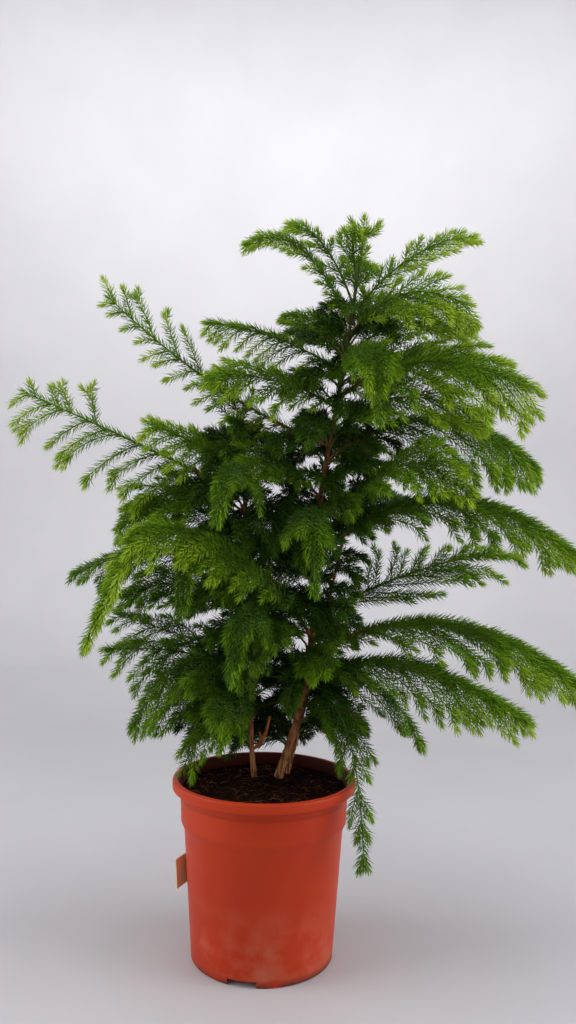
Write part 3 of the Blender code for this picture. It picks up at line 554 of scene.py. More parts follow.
def branchPoint(branch, share):
    angle = math.radians(branch["azimuth"] - branch["turn"] * (1 - share))
    level = branch["reach"] * share
    lift = branch["rise"] * share + 4 * branch["arch"] * share * (1 - share)
    past = max(0.0, (share - growthPlan["droopFrom"]) / growthPlan["droopOver"])
    lift -= branch["habit"].get("droop", 0.0) * past ** 2
    return branch["axis"] + Vector((level * math.cos(angle), level * math.sin(angle), lift))


def branchTangent(branch, share):
    return (branchPoint(branch, share + 0.01) - branchPoint(branch, share - 0.01)).normalized()


def branchAcross(branch, tangent):
    # Square to the branch, in the rolled plane of its spray, towards the back row
    level = tangent.cross(up).normalized()
    if level.dot(branch["backRow"]) < 0:
        level = -level
    over = level.cross(tangent)
    if over.z < 0:
        over = -over
    roll = math.radians(branch["roll"])
    return level * math.cos(roll) + over * math.sin(roll)


def makeBranch(name, stem, row):
    branch = dict(zip(branchFields, row), name=name)
    branch["habit"] = habitPlan.get(name, {})
    branch["roll"] = branch["habit"].get("roll", branch["roll"])
    branch["axis"], stemTangent = stemAt(stem, branch["height"])
    first = branchPoint(branch, 0.02) - branch["axis"]
    out = (first - stemTangent * first.dot(stemTangent)).normalized()
    branch["start"] = branch["axis"] + out * (stemRadius(stem, branch["height"]) - barkPlan["depth"])
    marks = [branchPoint(branch, i / 40) for i in range(41)]
    branch["length"] = sum((b - a).length for a, b in zip(marks, marks[1:]))
    backRow = (marks[-1] - marks[0]).cross(up)
    branch["backRow"] = backRow if backRow.y > 0 else -backRow
    return branch


def makeBranches(plan, stems):
    return [makeBranch(name, stems[stem], row) for stem, rows in plan.items() for name, row in rows.items()]


# Short inner shoots round each stem: lowest and highest, spacing, shoots in a whorl, reach, azimuths, and
# spacing of their branchlets
fillPlan = [
    ("stem_main", 0.345, 0.850, 0.024, 3, (0.060, 0.110), (0, 360), 0.014),
    ("stem_left", 0.330, 0.685, 0.022, 3, (0.070, 0.125), (0, 360), 0.014),
    ("stem_right", 0.560, 0.700, 0.030, 2, (0.045, 0.080), (0, 360), 0.015),
    ("stem_main", 0.262, 0.345, 0.011, 2, (0.080, 0.140), (-15, 150), 0.019),
    ("stem_left", 0.262, 0.330, 0.011, 2, (0.080, 0.130), (60, 215), 0.019),
]
shootPlan = {
    "turn": 137.5,  # degrees from one shoot to the next up the stem
    "stray": 25,  # degrees either way
    "strayHeight": 0.008,
    "shorter": 0.35,  # share of the reach that is lost towards the stem's top
    "curve": 12,  # degrees either way
    "rise": (-0.015, 0.030),
    "arch": (0.010, 0.026),
    "branchlet": 0.52,  # against the shoot's reach
    "roll": (5, 40),
    "sag": (0.30, 0.30),  # and more towards the viewer's side
    "taper": 0.5,
    "fresh": (0.22, 0.38),  # at most, and more towards the viewer's side as painted light
}


def makeFill(stems):
    # The plant's many small inner shoots, by the same rule as its branches
    plan = shootPlan
    rng = random.Random(growthPlan["seed"])
    shoots = []
    for stem, low, high, spacing, whorl, reach, (start, end), pitch in fillPlan:
        count = round((high - low) / spacing)
        for i in range(count + 1):
            for k in range(whorl):
                stray = rng.uniform(-plan["stray"], plan["stray"])
                azimuth = start + (plan["turn"] * i + 360 * k / whorl + stray) % 360 * (end - start) / 360
                drift = rng.uniform(-plan["strayHeight"], plan["strayHeight"])
                height = low + (high - low) * i / count + drift
                length = rng.uniform(*reach) * (1.0 - plan["shorter"] * i / count)
                ahead = max(0.0, -math.sin(math.radians(azimuth)))
                curve = rng.uniform(-plan["curve"], plan["curve"])
                rise, arch, roll = [rng.uniform(*plan[key]) for key in ("rise", "arch", "roll")]
                sag = plan["sag"][0] + plan["sag"][1] * ahead
                # Painted light: shoots on the side towards the viewer get lighter needles
                own, front = [rng.uniform(0.0, most) for most in plan["fresh"]]
                fresh = own + front * ahead
                branchlet = length * plan["branchlet"]
                row = (height, azimuth % 360, curve, length, rise, arch, branchlet, roll, sag, plan["taper"], 0,
                       fresh, pitch)
                shoots.append(makeBranch(f"{stem}-shoot-{start}-{i}-{k}", stems[stem], row))
    return shoots


def limbSpace(stems, branches):
    # Every limb's axis, to ask which other limbs come near a point
    marks = []
    for name, stem in stems.items():
        marks += [(point, name) for point in smoothPath(stem["waypoints"], growthPlan["markSpacing"])]
    for branch in branches:
        count = round(branch["length"] / growthPlan["markSpacing"])
        marks += [(branchPoint(branch, i / count), branch["name"]) for i in range(3, count + 1)]
    tree = kdtree.KDTree(len(marks))
    for i, (point, _) in enumerate(marks):
        tree.insert(point, i)
    tree.balance()
    return tree, [owner for _, owner in marks]


def isFree(space, branch, point):
    tree, owners = space
    beyond = math.hypot(point.x, point.y) - rimRadius
    if point.z < potTop + growthPlan["rimRoom"] and beyond < growthPlan["rimRoom"]:
        if beyond > -growthPlan["lipWidth"] or point.z < potTop - growthPlan["lipHang"]:
            return False
    near = tree.find_range(point, growthPlan["limbRoom"])
    return all(owners[i] == branch["name"] for _, i, _ in near)


def bentTwig(rootPoint, direction, forward, length, turn, drop, step):
    # Points of a branchlet that leaves wide, then turns towards its branch's tip and hangs
    middle = rootPoint + direction * length * 0.5
    tip = rootPoint + direction.lerp(forward, turn).normalized() * length - up * drop * length
    count = max(2, round(length / step))
    points = []
    for i in range(count + 1):
        t = i / count
        points.append(rootPoint * (1 - t) ** 2 + middle * 2 * t * (1 - t) + tip * t * t)
    return points


def trimmed(space, branch, points):
    kept = []
    for point in points:
        if kept and not isFree(space, branch, point):
            break
        kept.append(point)
    return kept


def branchletProfile(share, taper, early):
    # Length of the branchlets along a branch: rising from its foot, then tapering to its tip
    plan = growthPlan
    return min(1.0, (share + early) / plan["fullFrom"]) * min(1.0, plan["taperRise"] * (1 - share) ** taper)


def growBranch(branch, space):
    # The branch's own stalk, its two rows of branchlets and their forks
    plan = growthPlan
    rng = random.Random(f"{plan['seed']} {branch['name']}")
    length = branch["length"]
    count = max(3, round(length / plan["step"]))
    stalk = [branch["start"]] + [branchPoint(branch, i / count) for i in range(1, count + 1)]
    thick = plan["boughRadius"] if branch["bare"] else plan["stalkRadius"]
    glow = branch["fresh"]
    twigs = [{"points": stalk, "radii": (thick, plan["tipRadius"]), "glow": glow - plan["stalkShade"],
              "bare": plan["firstNeedle"] / length, "kind": "stalk"}]
    last = 1 - plan["bud"] / length
    for side, sign in (("front", -1), ("back", 1)):
        habit = dict(commonRow, **branch["habit"].get(side, {}))
        first = max(plan["firstTwig"] / length, habit["from"])
        rows = max(3, round(length * (last - first) / (branch["pitch"] * habit["gap"])))
        for i in range(rows):
            stray = rng.uniform(-plan["stagger"], plan["stagger"])
            share = first + (last - first) * (i + stray) / (rows - 1)
            share = min(last, max(first, share))
            tangent = branchTangent(branch, share)
            across = branchAcross(branch, tangent) * sign
            low, high = habit["spread"]
            spread = math.radians(low + (high - low) * share + rng.uniform(-plan["jitter"], plan["jitter"]))
            direction = tangent * math.cos(spread) + across * math.sin(spread)
            direction.z += rng.uniform(-plan["tilt"], plan["tilt"])
            direction.normalize()
            least, more = plan["sparse"]
            inside = min(1.0, least + more * share / max(branch["bare"], 0.01))
            wanted = branch["branchlet"] * branchletProfile(share, branch["taper"], habit["early"])
            wanted = max(wanted * rng.uniform(*plan["lengths"]) * inside * habit["length"], plan["shortest"])
            least, more = plan["sagAlong"]
            drop = branch["sag"] * (least + more * share) * (1.0 if side == "front" else plan["sagBack"])
            drop += habit["hang"]
            foot = branchPoint(branch, share)
            path = bentTwig(foot, direction, tangent, wanted, habit["forward"], drop, plan["step"])
            points = trimmed(space, branch, path)
            if len(points) < 3:
                continue
            least, more = plan["glowAlong"]
            light = glow * (0.5 + 0.5 * inside) * (least + more * share)
            light += rng.uniform(-plan["glowStray"], plan["glowStray"])
            twigs.append({"points": points, "radii": (plan["twigRadius"], plan["twigEnd"]), "glow": light,
                          "bare": 0.0, "kind": "side"})
            if wanted > plan["forkFrom"] and len(points) > 5:
                twigs += forkedTips(points, tangent, branch, space, light, rng)
    return twigs


def forkedTips(points, tangent, branch, space, light, rng):
    # Up to two short shoots near a long branchlet's end
    plan = growthPlan
    shoots = []
    for k in range(rng.choice((0, 1, 1, 2))):
        place = max(2, len(points) - 2 - k)
        forward = (points[place] - points[place - 1]).normalized()
        flank = forward.cross(tangent).cross(forward).normalized() * (1 if k % 2 else -1)
        turn = math.radians(rng.uniform(*plan["forkTurn"]))
        direction = (forward * math.cos(turn) + flank * math.sin(turn)).normalized()
        reach = rng.uniform(*plan["forkLength"])
        shoot = bentTwig(points[place], direction, forward, reach, *plan["forkBend"])
        path = trimmed(space, branch, shoot)
        if len(path) > 2:
            shoots.append({"points": path, "radii": plan["forkRadii"], "glow": light + plan["forkGlow"],
                           "bare": 0.0, "kind": "fork"})
    return shoots


# Needles: skeleton meshes and the trees that clothe them

needlePlan = {
    "length": 0.0148,
    "width": 0.0019,
    "spacing": 0.00086,  # along a twig, all round it
    "widest": 0.30,  # share of the length
    "splay": (22, 32),  # degrees from the twig at its tip, and how much more behind it
    "wobble": 0.35,  # radians round the twig
    "lean": 0.16,  # radians
    "sizes": (0.84, 1.08),
    "closing": 0.014,  # last stretch of a twig, over which its needles close over the bud
    "footSizes": (0.78, 0.22),  # at a twig's foot, and how much more where they are full
    "footShare": 0.2,  # share of the twig until then
    "tipSizes": (0.72, 0.28),  # the same towards its tip
    "tipStretch": 0.010,
    "stemSize": 0.75,
    "piece": 41.0,  # metres of twig in a piece, which keeps each under 200,000 triangles
    "tones": {  # from old growth and painted shade inside the crown to this year's tips and painted light in front
        "deep": ("#1a3203", "#213c04"),
        "shade": ("#2f5005", "#395e07"),
        "leaf": ("#4c6f09", "#597f0c"),
        "sun": ("#6b9410", "#78a014"),
        "fresh": ("#8aad1c", "#99b924"),
        "tip": ("#a2c02e", "#b4cd3e"),
    },
}


def skeletonMesh(name, runs):
    # Runs are lists of (point, radius, splay, size)
    mesh = bpy.data.meshes.new(name)
    points = [mark[0] for run in runs for mark in run]
    edges = []
    start = 0
    for run in runs:
        edges += [(start + i, start + i + 1) for i in range(len(run) - 1)]
        start += len(run)
    mesh.from_pydata(points, edges, [])
    for column, label in ((1, "thick"), (2, "splay"), (3, "size")):
        values = mesh.attributes.new(label, "FLOAT", "POINT").data
        values.foreach_set("value", [mark[column] for run in runs for mark in run])
    return mesh


def twigRun(twig):
    # Splay and size of the needles along a twig: short at its foot, closing over the bud at its tip
    plan = needlePlan
    points = twig["points"]
    low, high = twig["radii"]
    close, wider = plan["splay"]
    footLeast, footMore = plan["footSizes"]
    tipLeast, tipMore = plan["tipSizes"]
    run = []
    for i, point in enumerate(points):
        share = i / (len(points) - 1)
        end = (points[-1] - point).length
        splay = math.radians(close + wider * min(1.0, end / plan["closing"]))
        size = footLeast + footMore * min(1.0, share / plan["footShare"])
        size *= tipLeast + tipMore * min(1.0, end / plan["tipStretch"])
        size *= plan["stemSize"] if twig["kind"] == "stem" else 1.0
        run.append((point, low + (high - low) * share, splay, size))
    return run


tonePlan = {  # brightness of a stretch of needles, 0 to 1 over the tones
    "least": 0.05,
    "glow": 0.38,  # for a fresh twig, and for a twig given painted light
    "out": 0.18,  # for a place far from the stems; needles near them get painted shade, as well as being older
    "end": 0.28,  # for the last stretch of a fresh twig
    "endFrom": 0.33,  # share of the twig where that sets in
    "tip": 0.13,  # and more for a side twig's last stretch
    "bud": 0.10,  # and for the bud on it
    "middle": (0.03, 0.03),  # x and y of the crown's middle
    "far": 0.30,
}


def dealTones(twigs):
    # Cuts each twig into stretches of one tone, brighter towards its tip, with a fuller bud at the end
    plan = tonePlan
    names = list(needlePlan["tones"])
    runs = {tone: [] for tone in names}
    for twig in twigs:
        run = twigRun(twig)
        marks = run[math.ceil(twig["bare"] * (len(run) - 1)):]
        if len(marks) < 2:
            continue
        pieces = 3 if len(marks) > 6 else 2
        for part in range(pieces):
            low = round(part * (len(marks) - 1) / pieces)
            high = round((part + 1) * (len(marks) - 1) / pieces)
            stretch = marks[low:high + 1]
            if len(stretch) < 2:
                continue
            end = (part + 1) / pieces
            # Painted shade: stretches near the crown's middle are dealt darker tones
            middle = stretch[len(stretch) // 2][0]
            away = math.hypot(middle.x - plan["middle"][0], middle.y - plan["middle"][1])
            out = min(1.0, away / plan["far"])
            value = plan["least"] + plan["glow"] * twig["glow"] + plan["out"] * out
            value += plan["end"] * twig["glow"] * (end - plan["endFrom"])
            if twig["kind"] in ("side", "fork") and part == pieces - 1:
                value += plan["tip"] * twig["glow"]
                runs[toneFor(value + plan["bud"], names)].append(marks[-2:])
            runs[toneFor(value, names)].append(stretch)
    return runs


def toneFor(value, names):
    return names[max(0, min(len(names) - 1, int(value * len(names))))]


def makeNeedle(plan):
    # One needle along +Z, one long: a closed awl-shaped sliver of four faces, widest a third of the way up
    width = plan["width"] / plan["length"]
    bm = bmesh.new()
    base = bm.verts.new((0, 0, 0))
    left = bm.verts.new((0.05, -width / 2, plan["widest"]))
    right = bm.verts.new((0.05, width / 2, plan["widest"]))
    tip = bm.verts.new((-0.08, 0, 1.0))
    for corners in ((base, left, right), (left, tip, right), (base, tip, left), (base, right, tip)):
        bm.faces.new(corners)
    bmesh.ops.recalc_face_normals(bm, faces=bm.faces)
    return newObject("needle-source", meshFrom(bm, "needle"))


def needleTree():
    tree, sockets, given = newTree("needles on twigs", {
        "Needle": "Object", "Spacing": "Float", "Length": "Float", "Seed": "Int", "Material": "Material"})
    curve = addNode(tree, "GeometryNodeMeshToCurve", None, {"Mesh": given.outputs["Geometry"]})
    marks = addNode(tree, "GeometryNodeResampleCurve", {"mode": "LENGTH"},
                    {"Curve": curve.outputs[0], "Length": given.outputs["Spacing"]})
    tangent = addNode(tree, "GeometryNodeInputTangent")
    normal = addNode(tree, "GeometryNodeInputNormal")
    along = addNode(tree, "FunctionNodeAxesToRotation", {"primary_axis": "Z", "secondary_axis": "X"},
                    {"Primary Axis": tangent.outputs[0], "Secondary Axis": normal.outputs[0]})
    index = addNode(tree, "GeometryNodeInputIndex")
    golden = addNode(tree, "ShaderNodeMath", {"operation": "MULTIPLY", 1: math.pi * (3 - math.sqrt(5))},
                     {0: index.outputs[0]})
    wobble = addNode(tree, "FunctionNodeRandomValue",
                     {"data_type": "FLOAT", 2: -needlePlan["wobble"], 3: needlePlan["wobble"]},
                     {"Seed": given.outputs["Seed"]})
    roll = addNode(tree, "ShaderNodeMath", {"operation": "ADD"}, {0: golden.outputs[0], 1: wobble.outputs[1]})
    rolled = addNode(tree, "FunctionNodeAxisAngleToRotation", {"Axis": (0, 0, 1)},
                     {"Angle": roll.outputs[0]})
    spun = addNode(tree, "FunctionNodeRotateRotation", {"rotation_space": "LOCAL"},
                   {"Rotation": along.outputs[0], "Rotate By": rolled.outputs[0]})
    splay = addNode(tree, "GeometryNodeInputNamedAttribute", {"data_type": "FLOAT", "Name": "splay"})
    lean = addNode(tree, "FunctionNodeRandomValue",
                   {"data_type": "FLOAT", 2: -needlePlan["lean"], 3: needlePlan["lean"]},
                   {"Seed": roll.outputs[0]})
    angle = addNode(tree, "ShaderNodeMath", {"operation": "ADD"}, {0: splay.outputs[0], 1: lean.outputs[1]})
    tilted = addNode(tree, "FunctionNodeAxisAngleToRotation", {"Axis": (0, 1, 0)},
                     {"Angle": angle.outputs[0]})
    turned = addNode(tree, "FunctionNodeRotateRotation", {"rotation_space": "LOCAL"},
                     {"Rotation": spun.outputs[0], "Rotate By": tilted.outputs[0]})
    size = addNode(tree, "GeometryNodeInputNamedAttribute", {"data_type": "FLOAT", "Name": "size"})
    smallest, largest = needlePlan["sizes"]
    odd = addNode(tree, "FunctionNodeRandomValue", {"data_type": "FLOAT", 2: smallest, 3: largest},
                  {"Seed": given.outputs["Seed"]})
    grownSize = addNode(tree, "ShaderNodeMath", {"operation": "MULTIPLY"},
                        {0: size.outputs[0], 1: odd.outputs[1]})
    scale = addNode(tree, "ShaderNodeMath", {"operation": "MULTIPLY"},
                    {0: grownSize.outputs[0], 1: given.outputs["Length"]})
    shape = addNode(tree, "GeometryNodeObjectInfo", None, {"Object": given.outputs["Needle"]})
    placed = addNode(tree, "GeometryNodeInstanceOnPoints", None, {
        "Points": marks.outputs[0], "Instance": shape.outputs["Geometry"],
        "Rotation": turned.outputs[0], "Scale": scale.outputs[0]})
    endTree(tree, placed.outputs[0], given.outputs["Material"])
    return tree, sockets


def twigTree():
    tree, sockets, given = newTree("tapering twigs", {"Sides": "Int", "Material": "Material"})
    curve = addNode(tree, "GeometryNodeMeshToCurve", None, {"Mesh": given.outputs["Geometry"]})
    thick = addNode(tree, "GeometryNodeInputNamedAttribute", {"data_type": "FLOAT", "Name": "thick"})
    ring = addNode(tree, "GeometryNodeCurvePrimitiveCircle", {"Radius": 1.0},
                   {"Resolution": given.outputs["Sides"]})
    tube = addNode(tree, "GeometryNodeCurveToMesh", {"Fill Caps": True},
                   {"Curve": curve.outputs[0], "Profile Curve": ring.outputs[0], "Scale": thick.outputs[0]})
    endTree(tree, tube.outputs[0], given.outputs["Material"])
    return tree, sockets


def runLength(run):
    return sum((b[0] - a[0]).length for a, b in zip(run, run[1:]))


def splitRuns(runs, limit):
    parts = [[]]
    total = 0.0
    for run in runs:
        if total > limit:
            parts.append([])
            total = 0.0
        parts[-1].append(run)
        total += runLength(run)
    return parts


# Bark


def steadyFrames(points):
    # Side and up vectors carried along a path without twist
    frames = []
    side = Vector((1, 0, 0))
    for i in range(len(points)):
        tangent = (points[min(i + 1, len(points) - 1)] - points[max(i - 1, 0)]).normalized()
        side = (side - tangent * side.dot(tangent)).normalized()
        frames.append((tangent, side, tangent.cross(side)))
    return frames


def barkTube(bm, points, radii, sides, seed):
    # A limb with overlapping bark scales, their upper rims standing out, over a slow unevenness
    plan = barkPlan
    rings = []
    run = 0.0
    for i, (point, radius, (tangent, side, over)) in enumerate(zip(points, radii, steadyFrames(points))):
        run += (point - points[i - 1]).length if i else 0.0
        row = math.floor(run / plan["scaleLength"])
        rise = run / plan["scaleLength"] - row
        around = max(3, round(2 * math.pi * radius / plan["scaleWidth"]))
        ring = []
        for k in range(sides):
            angle = 2 * math.pi * k / sides
            outward = side * math.cos(angle) + over * math.sin(angle)
            place = (around * k / sides + 0.5 * (row % 2)) % 1.0
            lap = rise ** plan["lapRise"] * (1 - abs(2 * place - 1) ** plan["lapRound"])
            rough = noise.noise((point + outward * radius) * plan["unevenScale"] + Vector((seed, 0, 0)))
            depth = min(plan["depth"], radius * plan["shareOfRadius"])
            relief = depth * (lap - 0.5 + plan["unevenness"] * rough)
            ring.append(bm.verts.new(point + outward * (radius + relief)))
        rings.append(ring)
    for lower, upper in zip(rings, rings[1:]):
        for k in range(sides):
            j = (k + 1) % sides
            bm.faces.new((lower[k], lower[j], upper[j], upper[k]))
    bm.faces.new(reversed(rings[0]))
    bm.faces.new(rings[-1])


def finishBark(name, bm, bark, nodes):
    for face in bm.faces:
        face.smooth = True
    made = newObject(name, meshFrom(bm, name), bark)
    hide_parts(*nodes)
    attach(made, root)
    return made


def makeStem(name, stem, bark):
    points = smoothPath(stem["waypoints"], barkPlan["ringStep"])
    bm = bmesh.new()
    barkTube(bm, points, [stemRadius(stem, point.z) for point in points], stem["sides"], stem["sides"])
    return finishBark(name.replace("_", "-"), bm, bark, [name])


def makeBoughs(branches, bark):
    # The bare lower reach of each main branch
    bm = bmesh.new()
    for branch in branches:
        reach = max(branch["bare"], barkPlan["boughLeast"] / branch["length"])
        count = round(branch["length"] * reach / barkPlan["ringStep"])
        points = [branch["start"]] + [branchPoint(branch, reach * i / count) for i in range(2, count + 1)]
        thick = growthPlan["boughRadius"] if branch["bare"] else growthPlan["stalkRadius"]
        radii = [thick + (growthPlan["tipRadius"] - thick) * reach * i / count for i in range(len(points))]
        radii[0] *= barkPlan["collar"]
        radii = [radius + barkPlan["cover"] for radius in radii]
        barkTube(bm, points, radii, barkPlan["boughSides"], branch["height"] * 100)
    return finishBark("boughs", bm, bark, boughNodes)


stubPlan = {  # dry stub low on the left stem, with a broken side spur
    "height": 0.262,
    "elbow": Vector((0.018, -0.003, 0.004)),
    "ends": [Vector((0.0235, -0.004, 0.046)), Vector((0.010, -0.002, 0.024))],
    "radius": 0.0031,
    "thickness": (1.0, 0.6),  # of the stub and its spur
    "swell": (0.62, 0.38),  # thickness at the ends, and how much more in the middle
    "swellSteps": 26,  # of all the steps, so that the broken end stays even
    "steps": 30,
    "sides": 16,
    "seed": 7,
}


def makeStub(stems, dry):
    plan = stubPlan
    bm = bmesh.new()
    foot = stemAt(stems["stem_left"], plan["height"])[0]
    elbow = foot + plan["elbow"]
    least, more = plan["swell"]
    for end, thick in zip(plan["ends"], plan["thickness"]):
        points = []
        radii = []
        for i in range(plan["steps"] + 1):
            t = i / plan["steps"]
            points.append(foot * (1 - t) ** 2 + elbow * 2 * t * (1 - t) + (foot + end) * t * t)
            swelling = math.sin(math.pi * min(1.0, i / plan["swellSteps"]))
            radii.append(plan["radius"] * thick * (least + more * swelling))
        barkTube(bm, points, radii, plan["sides"], plan["seed"])
    for face in bm.faces:
        face.smooth = True
    made = newObject("dry-stub", meshFrom(bm, "dry-stub"), dry)
    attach(made, root)


# Pot

potPlan = {
    "height": 0.2365,
    "footRadius": 0.0942,
    "wallTopRadius": 0.1055,
    "shoulderFootRadius": 0.1100,
    "shoulderRadius": 0.1118,
    "rimRadius": 0.1222,
    "rimDepth": 0.0130,
    "shoulderDepth": 0.0665,
    "shoulderRise": 0.0110,
    "wall": 0.0022,
    "floorHeight": 0.0090,
    "floorThickness": 0.0030,
    "footRing": 0.0060,
    "hubRadius": 0.0140,  # flat hub in the middle of the underside
    "hubDraft": 0.0030,
    "lineHeight": 0.1840,  # faint moulded line round the shoulder
    "lineDepth": 0.0004,
    "notchAzimuths": (256, 16, 136),
    "notchWidth": 0.038,
    "notchHeight": 0.0082,
    "notchInside": 0.0102,  # the notch's reach inwards and outwards from the foot's edge
    "notchOutside": 0.0054,
    "notchEase": 0.0012,
    "edge": 0.0012,  # soft edges of the moulding
    "shoulderEase": 0.0004,
    "shoulderEaseHeight": 0.0014,
    "fillet": 0.0006,  # under the lip
    "lipLedge": 0.0020,  # width of the ledge inside the lip
    "ledgeEdge": 0.0010,
    "footRound": 0.0020,
    "lipRound": 0.0034,
    "lipEdge": 0.0016,
    "lipWidth": 0.0056,
    "sharpAngle": 38,  # degrees
    "segments": 180,
}


def wallSlope():
    return (potPlan["wallTopRadius"] - potPlan["footRadius"]) / (potPlan["height"] - potPlan["shoulderDepth"])


def wallRadius(height):
    return potPlan["footRadius"] + wallSlope() * height


def potProfile():
    plan = potPlan
    top = plan["height"]
    lip = top - plan["rimDepth"]
    band = top - plan["shoulderDepth"]
    step = band + plan["shoulderRise"]
    rim = plan["rimRadius"]
    wall = plan["wall"]
    line = plan["lineHeight"]
    ring = plan["footRadius"] - plan["footRing"]
    edge = plan["edge"]
    soft = plan["lipEdge"]
    outline = [(plan["hubRadius"], 0.0), (plan["hubRadius"] + plan["hubDraft"], plan["floorHeight"])]
    outline += [(ring - edge, plan["floorHeight"]), (ring, edge)]
    outline += arc((ring + edge, edge), edge, 180, 270, 3)
    foot = plan["footRound"]
    outline += arc((plan["footRadius"] - foot, foot), foot, 270, 360, 5)
    shoulder = plan["shoulderFootRadius"]
    ease = plan["shoulderEase"]
    easeHeight = plan["shoulderEaseHeight"]
    fillet = plan["fillet"]
    outline += [(plan["wallTopRadius"], band), (plan["wallTopRadius"] + ease, band + edge)]
    outline += [(shoulder - ease, step - easeHeight), (shoulder, step)]
    outline += [(shoulder + plan["lineDepth"], line), (shoulder, line + easeHeight)]
    outline += [(plan["shoulderRadius"], lip - fillet), (plan["shoulderRadius"] + fillet, lip)]
    outline += arc((rim - soft, lip + soft), soft, -90, 0, 4)
    outline += arc((rim - plan["lipRound"], top - plan["lipRound"]), plan["lipRound"], 5, 90, 7)
    outline += arc((rim - plan["lipWidth"], top - soft), soft, 90, 170, 4)
    outline += [(plan["shoulderRadius"] - wall + plan["lipLedge"], lip + fillet)]
    outline += [(plan["shoulderRadius"] - wall, lip - plan["ledgeEdge"])]
    outline += [(shoulder - wall, step - edge), (plan["wallTopRadius"] - wall, band - edge)]
    outline += [(plan["footRadius"] - wall, plan["floorHeight"] + plan["floorThickness"])]
    return outline


def makePot(finish):
    plan = potPlan
    bm = turnedMesh(potProfile(), plan["segments"])
    pot = newObject("pot-moulded", meshFrom(bm, "pot-moulded"), finish)
    deep = plan["notchInside"] + plan["notchOutside"]
    centre = plan["footRadius"] - (plan["notchInside"] - plan["notchOutside"]) / 2
    for azimuth in plan["notchAzimuths"]:
        cutter = bmesh.new()
        bmesh.ops.create_cube(cutter, size=1.0)
        size = Matrix.Diagonal((deep, plan["notchWidth"], plan["notchHeight"] * 2, 1.0))
        turn = Matrix.Rotation(math.radians(azimuth), 4, "Z")
        cutter.transform(turn @ Matrix.Translation((centre, 0, 0)) @ size)
        edges = [edge for edge in cutter.edges if edge.verts[0].co.z > 0 and edge.verts[1].co.z > 0]
        bmesh.ops.bevel(cutter, geom=edges, offset=plan["notchEase"], segments=2, affect="EDGES")
        tool = newObject("notch", meshFrom(cutter, "notch"), finish)
        cut = pot.modifiers.new("notch", "BOOLEAN")
        cut.operation = "DIFFERENCE"
        cut.object = tool
        depsgraph = bpy.context.evaluated_depsgraph_get()
        result = bpy.data.meshes.new_from_object(pot.evaluated_get(depsgraph))
        pot.modifiers.remove(cut)
        pot.data = result
        bpy.data.objects.remove(tool)
    pot.data.shade_smooth()
    pot.data.set_sharp_from_angle(angle=math.radians(plan["sharpAngle"]))
    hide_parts("pot")
    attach(pot, root)


# Peat

peatPlan = {
    "top": 0.2225,
    "radius": 0.1078,
    "ledge": 0.1840,  # the side follows the step in the pot's wall
    "neck": 0.1012,
    "neckDepth": 0.016,  # below the ledge
    "foot": 0.0905,
    "bottom": 0.0130,
    "rings": 30,
    "segments": 140,
    "swell": 0.0026,  # height of the lumps
    "lumps": ((28, 3.0, 0.8), (120, 8.0, 0.35)),  # for each size: lumps to the metre, noise layer, share
    "sink": 0.6,  # of the swell, from the top
    "edgeWidth": 0.016,  # over this width it lies higher towards the wall
    "crumbs": 1500,
    "crumbSize": 0.0019,
    "crumbLeast": (0.35, 0.3, 0.25),  # against that size
    "crumbMost": (1.5, 1.1, 0.8),
    "crumbLift": 0.0004,
    "crumbEdge": 0.004,  # room left at the wall
    "fibres": 110,
    "fibreRadius": 0.00017,
    "fibreLength": (0.008, 0.026),
    "fibreCurl": 1.4,  # radians along a fibre
    "fibreLift": 0.004,
    "fibreRest": 0.0005,  # height of its ends over the peat
    "fibreSwell": (0.7, 1.4),
    "fibreEdge": 0.003,
    "fibreSteps": 4,
    "fibreSides": 4,
}


def peatHeight(x, y):
    plan = peatPlan
    lumps = 1
    for scale, layer, share in plan["lumps"]:
        lumps -= share * noise.noise(Vector((x * scale, y * scale, layer)))
    edge = min(1.0, (plan["radius"] - math.hypot(x, y)) / plan["edgeWidth"])
    return plan["top"] - plan["swell"] * lumps * plan["sink"] * (0.5 + 0.5 * max(0.0, edge))


def makePeat(finish):
    plan = peatPlan
    bm = bmesh.new()
    rings = []
    for i in range(1, plan["rings"] + 1):
        radius = plan["radius"] * i / plan["rings"]
        turns = [2 * math.pi * k / plan["segments"] for k in range(plan["segments"])]
        spots = [(radius * math.cos(a), radius * math.sin(a)) for a in turns]
        rings.append([bm.verts.new((x, y, peatHeight(x, y))) for x, y in spots])
    for radius, height in ((plan["radius"], plan["ledge"]), (plan["neck"], plan["ledge"] - plan["neckDepth"]),
                           (plan["foot"], plan["bottom"])):
        turns = [2 * math.pi * k / plan["segments"] for k in range(plan["segments"])]
        rings.append([bm.verts.new((radius * math.cos(a), radius * math.sin(a), height)) for a in turns])
    centre = bm.verts.new((0, 0, peatHeight(0, 0)))
    for k in range(plan["segments"]):
        bm.faces.new((centre, rings[0][k], rings[0][(k + 1) % plan["segments"]]))
    for lower, upper in zip(rings, rings[1:]):
        for k in range(plan["segments"]):
            j = (k + 1) % plan["segments"]
            bm.faces.new((lower[k], upper[k], upper[j], lower[j]))
    bm.faces.new(rings[-1])
    bmesh.ops.recalc_face_normals(bm, faces=bm.faces)
    for face in bm.faces:
        face.smooth = True
    peat = newObject("peat-surface", meshFrom(bm, "peat-surface"), finish)
    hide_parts("peat")
    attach(peat, root)


